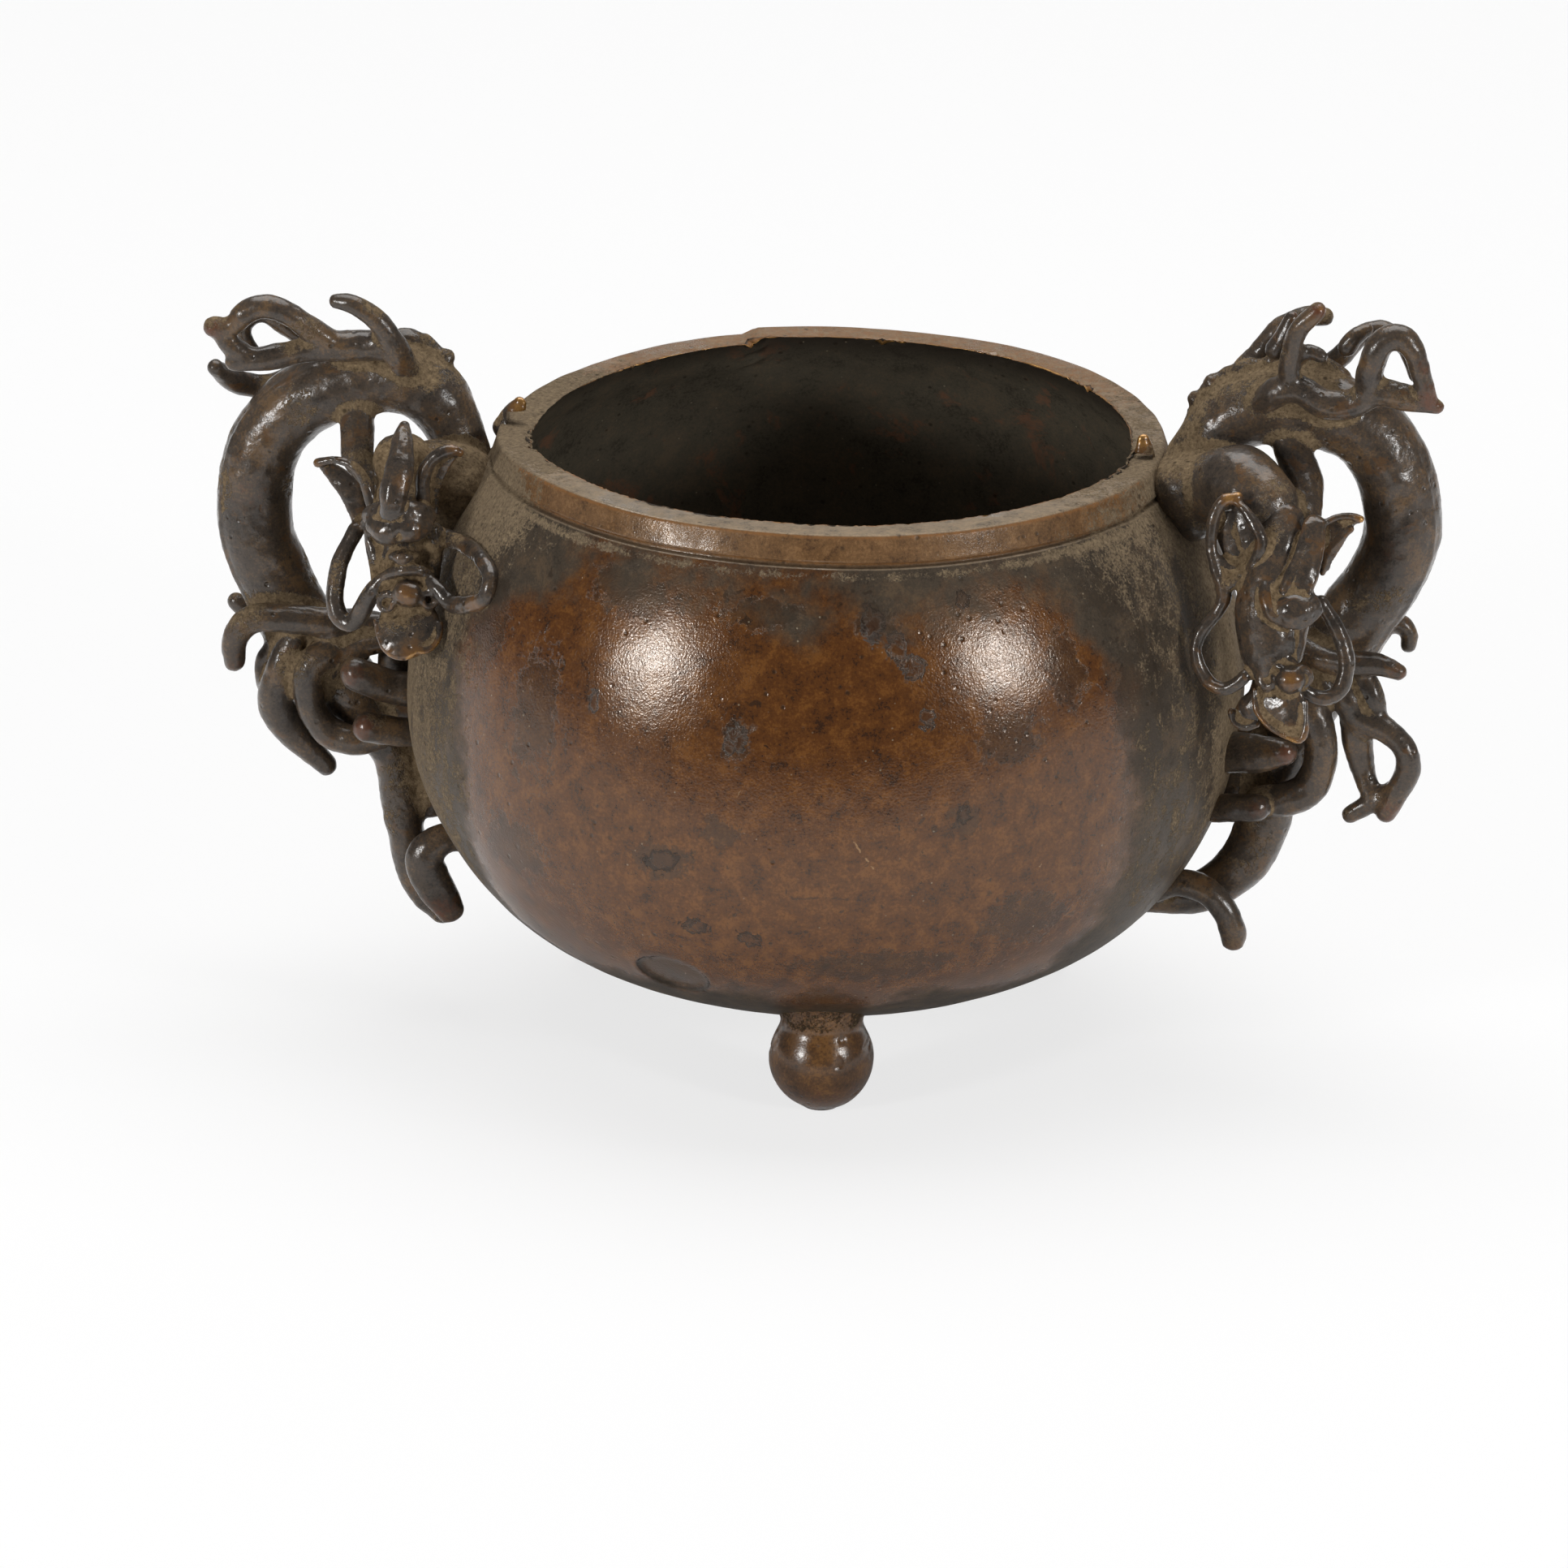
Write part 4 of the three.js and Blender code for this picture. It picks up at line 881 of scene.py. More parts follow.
# %% Cast the left dragon's coils
shapes = [
    roll(left_arch, LEFT, blunt=ROOTED),
    roll(left_neck, LEFT, blunt=ROOTED),
    roll(left_tail, LEFT),
    roll(left_tail_web, LEFT, flat=0.3, thin=(0, 1, 0)),
    roll(left_tail_tip, LEFT, flat=0.8, thin=FACING, blunt=(0.2, 0.8)),
    roll(left_nape_strut, LEFT),
    roll(left_mane, LEFT, flat=0.8, thin=(0, 1, 0)),
    # Two tufts of the mane, the throat, a web between two claws, and the crust behind the thigh
    lump(-3.5, -1.5, 70.6, 1.9, LEFT),
    lump(8.6, -1.5, 74.6, 1.7, LEFT),
    roll([(-8, 13, 47, 7.5), (-9, 13, 40, 6), (-9, 12, 33, 3.5)], LEFT),
    roll([(41.1, 10, 77.3, 2.0), (38.6, 10, 74.5, 2.4), (35.4, 9.5, 72.3, 2.2)], LEFT),
    roll([(4, 1, 13, 4), (5, 1, 5, 4.8), (5, 1, -3, 4.8), (5, 1, -9, 4)], LEFT, flat=0.6, thin=(0, 1, 0)),
]
shapes += [roll(claw, LEFT) for claws in left_paws.values() for claw in claws]
shapes += [roll(toe, LEFT, blunt=ROOTED) for toe in left_toes.values()]
left_seam = along_arch(left_arch[5:12], (14, 38), 0.56)
left_coils = casting(
    "left_dragon_coils", shapes, LEFT, COIL_GRID,
    solids_of(
        "left_dragon", "body", "neck", "tail", "tail_web", "tail_tip", "nape_strut", "mane", *left_paws,
        *left_toes,
    ),
    41,
    lines=[(left_seam, 0.35, 0.7)],
    dust=[
        (-8, 15, 44, 14, 1.2), (2, 2, 66, 10, 0.5), (1, 17, 50, 9, 0.6), (2, 0, -17, 9, 0.8),
        (14, 6, 4, 8, 0.5), (8, 5, 72, 6, 0.4), (0, 4, 0, 8, 0.5), (26, 6, 14, 7, 0.45),
    ],
    rub=[
        (12.4, 17, 7.6, 3.6, 0.5), (10, 17, -3.8, 3.4, 0.6), (42.5, 12, 78.4, 2.6, 0.7),
        (38, 12, 6.5, 3, 0.4), (-5, 12, -44, 5, 0.5), (35.5, 7, 42, 9, 0.25),
    ],
    crust=[(1, -1, -17, 8, 0.8), (4, -1, 74, 7, 0.7), (-8, 16, 42, 10, 0.8), (12, 2, 71, 5, 0.4)],
)

# %% [markdown]
# ## The left dragon's face
#
# The face hangs forward of the neck like a mask. One rounded horn runs from above the skull to a
# heavy brow over deep eye pits. Below a small lozenge a moustache runs out into wire whiskers that
# loop up to the ears. The nose is a ball between two curled nostrils, and the upper lip is a broad
# shovel with a worn bright edge. It is cast on a finer grid than the coils.

# %% Stations of the left dragon's face
left_head = [
    (1, 22.5, 50.5, 5.8), (0.6, 25.5, 46.5, 6.4), (0.1, 28, 41.5, 6.2), (-0.5, 30.5, 36.2, 5.6),
    (-1.3, 33, 31.2, 5.4), (-1.5, 34, 29, 4.8),
]
left_crest = [
    (0.4, 25.5, 64.8, 1.2), (0.2, 28, 63.4, 2.1), (0, 31, 60.9, 2.6), (0.2, 34, 57.4, 2.9),
    (0.8, 35.6, 53.6, 2.8), (1, 36.4, 50.2, 2.4),
]
left_crest_ridge = [
    (0.5, 27.5, 64.8, 1), (0.5, 31.5, 62.4, 1), (0.9, 35.5, 58.6, 1), (1.5, 37.6, 54.6, 1),
    (1.7, 38.4, 51.5, 1),
]
left_brow = [
    (6.2, 31, 47.2, 2.3), (3.1, 33.5, 48.4, 3.1), (-0.1, 35, 48.8, 3.3), (-3.1, 34.2, 48.9, 3.1),
    (-5.3, 31.5, 48.4, 2.3),
]
left_lower_brow = [
    (4.3, 34, 46.4, 2.7), (2, 35.4, 46, 3.4), (-0.6, 35.4, 46.9, 3.2), (-3, 35.1, 46.5, 3.1),
    (-4.6, 33.8, 46.9, 2.4),
]
left_eye_fold = [
    (5, 34, 42.6, 1), (2, 37, 42, 1), (-1, 36.6, 42.8, 1), (-3.8, 36, 42.8, 1), (-5.6, 33.6, 43.4, 1),
]
left_cheeks = [
    [(6.1, 29.5, 43.4, 2), (5.3, 30.5, 39.4, 2), (4.1, 32, 34.5, 1.8)],
    [(-6.3, 29.5, 44.2, 2), (-6.7, 30.5, 40.2, 2), (-6.3, 32, 35.2, 1.8)],
]
left_lozenge = [(1.2, 35, 40.2, 1), (-1.2, 36.4, 40.9, 1.7), (-3.5, 35, 40.7, 1)]
left_jaw = [(-0.9, 30.5, 28.6, 4.3), (-1.5, 32, 23.9, 4.3), (-1.9, 33, 20.8, 3)]
left_skull = [(2.4, 21, 55, 6.2), (0.1, 21, 55.5, 6.2)]
left_moustache = [
    (4.1, 34, 34.5, 1), (1.2, 35.6, 37, 1.3), (-1.8, 36.6, 38.2, 1.3), (-4.4, 35.8, 38, 1.3),
    (-6.8, 34.4, 36.2, 1),
]
left_nostrils = [
    [
        (0.1, 37.4, 32.5, 0.8), (1.3, 37.2, 33.1, 0.9), (2.8, 36.8, 32.4, 0.9), (3.3, 36.8, 31, 0.9),
        (2.6, 37.2, 29.8, 0.9), (1, 37.8, 30.1, 0.8), (0.5, 38, 31.4, 0.7),
    ],
    [
        (-5.1, 37.4, 33, 0.8), (-6, 37.2, 33.8, 0.9), (-7.4, 36.8, 33.6, 0.9), (-8.1, 36.8, 32.4, 0.9),
        (-7.5, 37.2, 31.1, 0.9), (-6.3, 37.8, 31.1, 0.8), (-5.6, 38, 32.2, 0.7),
    ],
]
left_lip = [
    (-1.8, 35.5, 29.5, 5.5), (-2.5, 37.5, 27.2, 6.6), (-3.2, 39.5, 24.1, 6.3), (-3.6, 40.3, 22.5, 5.1),
]
left_lip_edge = [
    (4, 37.6, 27.3, 0.6), (3, 39.4, 24.5, 0.7), (1.4, 40.6, 22.5, 0.8), (-1, 41.2, 21.5, 0.8),
    (-3.6, 41.2, 21.8, 0.8), (-4.9, 41.2, 22.8, 0.7), (-6.6, 41.1, 22.8, 0.8), (-8.3, 40.6, 23.5, 0.8),
    (-9.3, 39.6, 25.3, 0.7), (-9.3, 38, 27.8, 0.6),
]
left_ears = [
    [
        (9.1, 25, 41.6, 1.5), (10.1, 24, 45.5, 2), (12, 23.4, 49.9, 2.5), (14.8, 22.6, 52.7, 2.2),
        (17.7, 22.4, 54.4, 1),
    ],
    [
        (-5.7, 28.5, 47.6, 1.7), (-5.1, 28.4, 52.2, 2.3), (-6.2, 28.2, 55.9, 2.4), (-8.3, 28, 59, 1.8),
        (-10.5, 28.2, 60.7, 0.9),
    ],
]
left_ear_rims = [
    [
        (18.4, 23, 55, 0.9), (15.6, 23.8, 56, 1), (12.3, 24.8, 56.1, 1.1), (9.8, 25.8, 54.8, 1.1),
        (8.2, 26.2, 52.6, 1.1), (7.3, 26.6, 49.7, 1.2), (6.4, 27, 46.8, 1.3), (7.9, 26, 43.8, 1.4),
    ],
    [
        (-5.1, 30.6, 48, 1.3), (-4.4, 30.8, 52.4, 1.4), (-4.4, 30.6, 56, 1.4), (-5.7, 30, 59.2, 1.4),
        (-7.8, 29.6, 61, 1.3), (-10, 29.2, 61.7, 1.2), (-11.4, 28.8, 61.1, 0.9),
    ],
]
left_whisker_outer = [
    (10.1, 25.5, 42.2, 1.8), (11.7, 27, 38.8, 1.8), (13.1, 28.5, 35.3, 1.8), (13.6, 30, 31.4, 1.8),
    (13.4, 31.4, 28, 1.8), (12, 32.4, 25.4, 1.8), (10.2, 33, 24.7, 1.8), (8.4, 33.4, 26.2, 1.8),
    (6.8, 34, 29.5, 1.8), (5, 34.4, 32.7, 1.7), (3.4, 34.6, 35.1, 1.3),
]
left_whisker_inner = [
    (-5.5, 27, 43, 1.9), (-10, 29.5, 42.6, 1.9), (-13.7, 33.2, 42.8, 1.8), (-18.2, 41, 43, 1.8),
    (-20.8, 46.2, 41, 1.8), (-20.2, 47.3, 37.6, 1.9), (-16.2, 43.6, 34.2, 1.9), (-11.3, 38, 32.4, 1.8),
    (-8.1, 36.5, 34.8, 1.7), (-4.5, 34, 36.4, 1.3),
]

# %% Cast the left dragon's face
shapes = [
    roll(left_head, LEFT, flat=0.85, thin=FACING),
    roll(left_skull, LEFT, flat=0.8, thin=FACING),
    roll(left_crest, LEFT, flat=0.85, thin=FACING),
    roll(left_brow, LEFT, flat=0.85, thin=FACING),
    roll(left_lower_brow, LEFT),
    roll(left_lozenge, LEFT),
    roll(left_moustache, LEFT),
    # The ball of the nose is two lumps side by side
    lump(-2.2, 37, 33.4, 2.9, LEFT),
    lump(-3, 37, 33.2, 2.8, LEFT),
    roll(left_lip, LEFT, flat=0.3, thin=FACING),
    roll(left_lip_edge, LEFT),
    roll(left_jaw, LEFT, flat=0.4, thin=FACING),
    roll(left_whisker_outer, LEFT),
    roll(left_whisker_inner, LEFT),
]
shapes += [roll(line, LEFT) for line in left_cheeks + left_nostrils + left_ear_rims]
shapes += [roll(leaf, LEFT, flat=0.34, thin=FACING) for leaf in left_ears]
left_face = casting(
    "left_dragon_face", shapes, LEFT, FACE_GRID,
    solids_of(
        "left_dragon", "head", "horn", "brow", "nose", "upper_lip", "lower_jaw", "ear_outer",
        "ear_inner", "whisker_outer", "whisker_inner",
    ),
    71,
    webbing=(18, 0.7),
    lines=[
        (left_crest_ridge, 0.35, 1.1),
        ([(-1.6, 34.5, 57, 1), (-1.3, 36.6, 54, 1), (-1.2, 37.6, 51.1, 1)], 0.25, 0.9),
        (left_eye_fold, -0.4, 0.8),
        ([(-0.8, 38, 46.4, 1), (-0.8, 38.6, 43.6, 1)], -0.4, 0.8),
        ([(2.1, 38.5, 29, 1), (-3.2, 39.5, 29.2, 1), (-8.3, 38.5, 29.6, 1)], -0.15, 1.2),
        ([(6.0, 32, 42.6, 1), (4.5, 33, 41.2, 1)], -0.5, 0.9),
        ([(-4.4, 33.5, 42.8, 1), (-5.4, 32.5, 42.3, 1)], -0.5, 0.9),
    ],
    dust=[
        (-4, 24, 56.5, 5, 1.1), (5.6, 23, 56, 5.5, 1.0), (4, 28, 37, 5, 0.8), (-6, 30, 38, 5, 0.8),
        (-2, 36.5, 28.5, 3.5, 0.35), (-1, 32, 38, 4, 0.5),
    ],
    rub=[
        (-1, 36.4, 56.5, 2.6, 0.55), (0.4, 27, 64.5, 2, 0.4), (-2.5, 39.5, 33.8, 2.6, 0.8),
        (-4.5, 41.8, 21.8, 3.4, 0.8), (0.5, 41.2, 21.6, 2.4, 0.6), (-9, 40.5, 24, 2.4, 0.6),
        (18.4, 23, 55, 2, 0.35), (-18.5, 46, 34.8, 3.2, 0.9), (-10, 29.6, 62, 2.2, 0.5),
    ],
)

# %% [markdown]
# ## The right dragon's coils
#
# The right dragon isn't a copy of the left. Its arch stands higher, its neck rises in a full loop
# before it turns down to the face, and its claws and mane are placed differently, because the
# founder built each one by hand.

# %% Stations of the right dragon's coils: out, forward, up, radius
TURNED = (-0.35, 1, 0.35)

right_arch = [
    (-13.9, 0, 51, 5), (-6.9, 0, 61.1, 6.3), (-0.9, 0, 68.4, 7.3), (8, 0, 71.8, 7.8),
    (17.4, 0, 71.2, 7.8), (24.7, 0, 68.4, 7.8), (29.8, 0, 63, 7.8), (33.2, 0, 54.2, 7.8),
    (33.6, 0, 44.7, 7.8), (30.6, 0, 36.2, 7.8), (25.7, 0, 28.2, 7.8), (20.6, 0, 18.6, 7.6),
    (15, 0, 7.7, 7), (12, 0, 0.5, 6),
]
right_neck = [(-14.6, 4, 52, 7.2), (-4.6, 9.5, 56, 7.5), (2.4, 15.5, 60, 7.7), (7.4, 20, 57.5, 7.2)]
right_tail = [
    (12.2, 0, -1, 5.6), (9.6, 0, -8.5, 5.5), (7.6, 1, -17.9, 5.5), (5, 2, -24.8, 5.3),
    (-0.1, 3, -30.4, 4.6), (-6.6, 4, -33.3, 4), (-15.8, 5, -34, 3.2),
]
right_tail_tip = [
    (-13.4, 9, -31, 2.6), (-8.1, 10.5, -28.4, 2.8), (-2.4, 11.5, -29.2, 2.9), (1.7, 12, -33.2, 2.9),
    (3.4, 12, -37.9, 2.8), (3.4, 12, -40, 2.4),
]
right_nape_strut = [(9.3, 1, 69.5, 4), (12, 6, 63.5, 3.7), (15.2, 11, 58.5, 3.5), (16, 18, 52.5, 3)]
right_mane = [
    (-9.4, -2, 66, 2), (-6.4, -2, 71, 3.2), (-1.6, -2, 75.6, 3.1), (3.8, -2, 78.4, 2.4),
    (10.9, -2, 78.8, 2.5), (15.7, -2, 79.4, 2.9), (20.7, -2, 77.2, 2.2),
]
right_paws = {
    "fore_paw": [
        [
            (5.3, 5.5, 73.5, 2.6), (8.7, 7.5, 77, 3.1), (12.8, 8, 78, 3.1), (17.9, 9, 75.6, 3.1),
            (23.1, 9, 75.8, 3.1), (28.3, 9.5, 78.7, 3.1), (35, 10.5, 78.2, 2.6),
            (40.8, 10.5, 76.8, 1.4),
        ],
        [(10.8, 8, 78.5, 2.6), (11, 9.5, 85.3, 2.2), (12.6, 10.5, 91.2, 2), (16.3, 11, 95.7, 1.7)],
        [
            (26.7, 9.5, 77.7, 2.8), (27.2, 11, 84.6, 2.7), (29.3, 11.5, 90, 2.6),
            (32.7, 11.5, 91.6, 2.5), (35.8, 11.5, 88.5, 2.4), (37.4, 11.5, 83.7, 2.2),
            (39, 11, 78, 1.8),
        ],
    ],
    "rear_fore_paw": [
        [
            (17, -7, 75.5, 2.6), (11, -7.2, 76, 2.6), (5, -6.8, 76, 2.6), (0, -6, 75.5, 2.6),
            (3.6, -7, 80.6, 2.3), (7.5, -8, 85.4, 2.3), (12.1, -8, 88, 2), (16.2, -8, 88.2, 1.8),
        ],
        [
            (14, -7.2, 75.6, 2.6), (19.3, -8, 79.9, 2.3), (23.6, -9, 84.6, 2.2), (27.6, -9.5, 85.6, 2),
            (32.1, -9.5, 82.6, 2), (34.7, -9.5, 76.7, 1.7),
        ],
    ],
    "hind_paw": [
        [
            (14.4, 6.5, 22.4, 2.8), (21.3, 9.5, 21.2, 2.6), (26.3, 10.5, 21.4, 2.4),
            (31.2, 10.5, 21.4, 2.2), (35, 10.5, 20.2, 1.8),
        ],
    ],
    "hind_leg": [
        [
            (18, 5, 17, 3.3), (23.4, 8, 14.6, 3.3), (27.3, 9, 9.2, 3.1), (32.4, 10, 7.6, 2.9),
            (37, 11, 3.8, 2.6), (37.6, 11, -0.8, 2.6), (35.4, 11, -5.9, 2.4), (33.6, 11, -10, 2),
        ],
        [(26.7, 8.5, 9.7, 3.1), (27.8, 7.5, 3.3, 2.5), (28.2, 7.5, -1.9, 2.4), (30, 9, -6.3, 2.1)],
        [(35.9, 10.5, -4.4, 1.9), (31.2, 9.5, -8, 2), (26.2, 9, -11.7, 1.7)],
    ],
    "rear_hind_paw": [
        [
            (22, -6.5, 19, 2.6), (28.4, -9, 21.5, 2.3), (32.8, -9.5, 23.6, 2), (35.2, -9.5, 21.4, 1.8),
            (35.2, -9.5, 18.8, 1.6),
        ],
    ],
    "thigh": [
        [
            (12, 5.5, 11.2, 3.5), (17, 9.4, 11.4, 3.5), (19.4, 10.5, 5.9, 3.5), (19.8, 10.5, -0.2, 3.5),
            (17.6, 10.5, -5.9, 3.5), (13.3, 10.5, -8.7, 3.5), (7.6, 9, -10.1, 3.1),
        ],
    ],
}
right_toes = {
    "upper_toe": [(-1.9, 8, 0, 4.3), (6.5, 12, 1.4, 4.1), (12.9, 15.5, 3.2, 2.9)],
    "lower_toe": [(-3.5, 9, -12.7, 2.6), (1.9, 12, -10.8, 2.9), (7.4, 14, -9.6, 2.8)],
}

# %% Cast the right dragon's coils
shapes = [
    roll(right_arch, RIGHT, blunt=ROOTED),
    roll(right_neck, RIGHT, blunt=ROOTED),
    roll(right_tail, RIGHT, blunt=(1.0, 0.3)),
    roll(right_tail_tip, RIGHT, thin=FACING, blunt=(0.2, 0.6)),
    roll(right_nape_strut, RIGHT),
    roll(right_mane, RIGHT, flat=0.7, thin=(0, 1, 0)),
    # Four tufts of the mane, the throat, three claws that lie low on the arch, two webs, a crust
    lump(-9, -1.5, 71.6, 1.7, RIGHT),
    lump(-5.8, -1.5, 75.2, 1.8, RIGHT),
    lump(-0.4, -1.5, 78.2, 1.5, RIGHT),
    lump(6.2, -1.5, 80.6, 1.6, RIGHT),
    roll([(-9, 10, 56, 6.5), (-8, 9, 50, 5)], RIGHT),
    roll([(10.5, 3, 91.2, 1.6), (9.3, 3, 87.7, 2), (7.4, 3, 84.1, 2.2)], RIGHT),
    roll([(12.4, 7, 84.4, 2), (14.4, 8, 86, 1.8), (17, 8, 85.2, 1.6)], RIGHT),
    roll([(21.8, 4, 86, 2), (23.4, 4, 88.5, 1.8), (25.5, 3, 89.6, 1.4)], RIGHT),
    roll([(27.8, 8, 17.6, 2.2), (29.9, 9, 14.6, 2.2), (31, 9, 10.3, 2)], RIGHT),
    roll([(25.4, 8, 9.6, 2.4), (26.3, 8, 3.5, 2.4), (27.6, 8, -1.6, 2)], RIGHT),
    roll([(3, 1, 5, 4.6), (4, 1, -3, 4.8), (3, 1, -12, 4.2)], RIGHT, flat=0.6, thin=(0, 1, 0)),
]
shapes += [roll(claw, RIGHT) for claws in right_paws.values() for claw in claws]
shapes += [roll(toe, RIGHT, blunt=ROOTED) for toe in right_toes.values()]
right_seam = along_arch(right_arch[6:12], (12, 40), 0.5)
right_coils = casting(
    "right_dragon_coils", shapes, RIGHT, COIL_GRID,
    solids_of(
        "right_dragon", "body", "neck", "tail", "tail_tip", "nape_strut", "mane", *right_paws,
        *right_toes,
    ),
    53,
    lines=[(right_seam, 0.3, 0.7)],
    dust=[
        (-10, 5, 56, 13, 0.9), (3, 0, 74, 8, 0.7), (9, 22, 54, 8, 0.9), (12, 2, 2, 8, 0.5),
        (8, 7, -9, 6, 0.5), (16, 3, 74, 6, 0.5), (20, 5, 17, 6, 0.5), (4, 5, -26, 6, 0.3),
    ],
    rub=[
        (13.5, 18, 3.4, 3.2, 0.6), (8.2, 16, -9.2, 2.6, 0.5), (16.5, 12, 96.6, 2.6, 0.7),
        (40.5, 12, 79, 4, 0.7), (38, 12.5, 86, 3, 0.4), (35.2, 12, -9, 4, 0.5), (35, 11.5, 20, 3, 0.4),
        (34, 8, 45, 8, 0.25), (3.4, 13, -40, 3, 0.4),
    ],
    crust=[
        (-6, -1, 70, 6, 0.8), (5, -1, 77, 7, 0.7), (-9, 6, 56, 6, 0.3), (14, 3, 62, 5, 0.5),
        (17, 3, 14, 5, 0.4),
    ],
)

# %% [markdown]
# ## The right dragon's face
#
# The right face is turned a little towards the bowl, so it is seen from its own right. It has a
# crest filled between two raised edges, a brow like a shelf with a curl at its end, a cupped ear
# whose rim runs on as a whisker, a spiral nostril beside the ball of the nose, and a mouth that
# stands open over the jaw.

# %% Stations of the right dragon's face
right_head = [
    (11.7, 24, 55.9, 4.2), (11.5, 27, 52.6, 4.3), (10.4, 29.5, 48.3, 5), (9.8, 31.5, 42.8, 6.1),
    (10, 33, 36.7, 6.3), (10.8, 34, 32.3, 6), (11.8, 35, 28.6, 5.2),
]
right_crest = [
    (18.5, 27.4, 56.3, 2.4), (18.3, 29.8, 53, 2.8), (17.7, 32.5, 49.5, 3), (16.6, 34.3, 46.6, 2.9),
    (16, 35, 44.8, 2.4),
]
right_crest_ridges = [
    [
        (17.1, 28.6, 56.6, 0.9), (16.6, 31, 53.5, 1.1), (15.7, 33.6, 49.9, 1.3), (14.4, 35.6, 47, 1.3),
        (13.7, 36.4, 45.5, 1.1),
    ],
    [
        (20, 28.4, 57.1, 0.8), (20.2, 30.6, 53.5, 1), (19.8, 33.2, 49.9, 1), (19, 35, 47.2, 1),
        (18.4, 36, 45.3, 0.9),
    ],
]
right_brow = [(12, 35, 41.3, 2.8), (14.2, 36.5, 41.6, 3.5), (16.8, 37, 41.8, 3.7), (18.8, 36, 42.3, 3)]
right_curl = [
    (9.8, 35, 45.9, 1.1), (9.9, 36.4, 44.2, 1.3), (10.6, 37.4, 42.4, 1.3), (11.6, 38, 40.6, 1.2),
    (13.5, 38, 39.8, 1),
]
right_nostrils = [
    [
        (14.6, 39.4, 29.8, 0.8), (13, 38.6, 30.1, 0.9), (11.2, 38, 29.6, 0.9), (9.8, 37.8, 28.2, 0.9),
        (9.9, 38.4, 26.5, 0.9), (11.3, 39, 25.6, 0.9), (12.6, 39.4, 26.6, 0.8), (12.7, 39.6, 28, 0.7),
    ],
    [(17.3, 39, 30, 0.8), (18.9, 38.2, 29.2, 0.8), (19.3, 38.2, 27.1, 0.8), (18.1, 38.8, 26.2, 0.7)],
]
right_moustache = [
    (7.4, 35.5, 27.7, 1.3), (9.1, 36.4, 30.1, 1.2), (11.9, 37.2, 31.6, 1), (14.5, 37.6, 31.4, 0.9),
    (16.6, 37.6, 30.1, 0.8),
]
right_lip = [(12.8, 37.6, 25.9, 4.5), (14, 39.4, 22.8, 5.2), (15.9, 41, 19.3, 3.9), (17.6, 42, 17, 1.9)]
right_lip_edge = [
    (8.6, 38, 24.6, 0.7), (9.3, 39.5, 20.7, 0.7), (11.7, 41, 18.3, 0.8), (15.6, 42.3, 16.7, 0.8),
    (18.4, 42.8, 16.4, 0.8), (19.4, 42.4, 19, 0.7), (19.2, 41, 23.8, 0.7),
]
right_jaw = [(11.6, 33.4, 26.5, 4), (9.2, 33.5, 20.9, 3), (7, 33.2, 18.6, 2.9), (5.6, 33, 16.8, 2)]
right_jaw_edge = [
    (3.6, 33.4, 17.9, 0.8), (4.2, 33.8, 15.9, 0.8), (6.4, 34.2, 15.1, 0.8), (9, 34.8, 16, 0.7),
]
right_ears = [
    [
        (2.4, 26, 59.4, 1.3), (3.6, 27, 56.9, 2.5), (4.9, 28, 53.7, 3), (5.9, 29, 50.4, 2.3),
        (6.7, 29.6, 47.2, 1.2),
    ],
    [
        (20.1, 27.4, 47.3, 1.7), (20.6, 27, 50.6, 2.5), (22, 26, 53.8, 2.8), (24, 25.4, 56.1, 2.2),
        (26.1, 25, 57.2, 1.3), (27.5, 25, 57.2, 0.7),
    ],
]
right_ear_rims = [
    [
        (2.7, 28, 60.6, 1.1), (5, 29.6, 59, 1.2), (7, 30.8, 56.6, 1.3), (8.4, 31.4, 54, 1.4),
        (8.1, 31.6, 51, 1.4), (6.8, 31.4, 47.9, 1.4), (6.1, 31, 45.6, 1.4),
    ],
    [(20.1, 27.4, 56.6, 0.7), (22.5, 26.6, 57.8, 0.7), (25, 26, 58.1, 0.7), (27.5, 25.4, 57.4, 0.7)],
    [(20.4, 28, 46.5, 0.7), (21.3, 27.4, 50.1, 0.7), (23.4, 26.6, 53.1, 0.7), (25.7, 26, 55.4, 0.7)],
    [(0.9, 30.6, 43.4, 1.6), (3.8, 31, 45, 1.5), (6.3, 31, 46, 1.7)],
    [(-1.3, 29.2, 49.5, 1), (1.5, 29.4, 47, 1.3), (5, 29.6, 46.4, 1.3)],
]
right_ear_back = [(0.4, 26.6, 57.4, 2.2), (1.2, 27, 54, 2.8), (2.8, 28.2, 50, 2.6), (4.3, 29.2, 46.4, 1.6)]
right_whisker_inner = [
    (3, 27.6, 61.3, 1.3), (0.6, 28, 60.6, 1.4), (-0.9, 28, 58.5, 1.3), (-1.8, 28.4, 55.2, 1.3),
    (-1.9, 28.8, 51.9, 1.3), (-1.3, 29.4, 48.7, 1.4), (-0.3, 30, 45.9, 1.5), (0.9, 30.6, 43.4, 1.7),
    (1.2, 31, 41.2, 1.6), (0.2, 31.6, 38.6, 1.4), (-1.7, 32.4, 36, 1.35), (-3.4, 33, 33.2, 1.35),
    (-3.9, 33.6, 30.2, 1.35), (-2.7, 34.4, 26.8, 1.4), (-0.6, 35.2, 24.3, 1.4), (2.1, 36, 23.6, 1.4),
    (4.5, 36.4, 24.8, 1.4), (6.4, 36.4, 26.6, 1.4),
]
right_whisker_outer = [
    (20.7, 31, 41.4, 1.7), (23.5, 31.6, 37, 1.7), (25.4, 32.4, 33.5, 1.7), (26.3, 33.2, 30.2, 1.7),
    (26.1, 34, 26.7, 1.7), (25, 35, 24.2, 1.7), (22.9, 36, 23.1, 1.7), (20.3, 36.6, 23.5, 1.6),
    (17.6, 37, 25.5, 1.4),
]
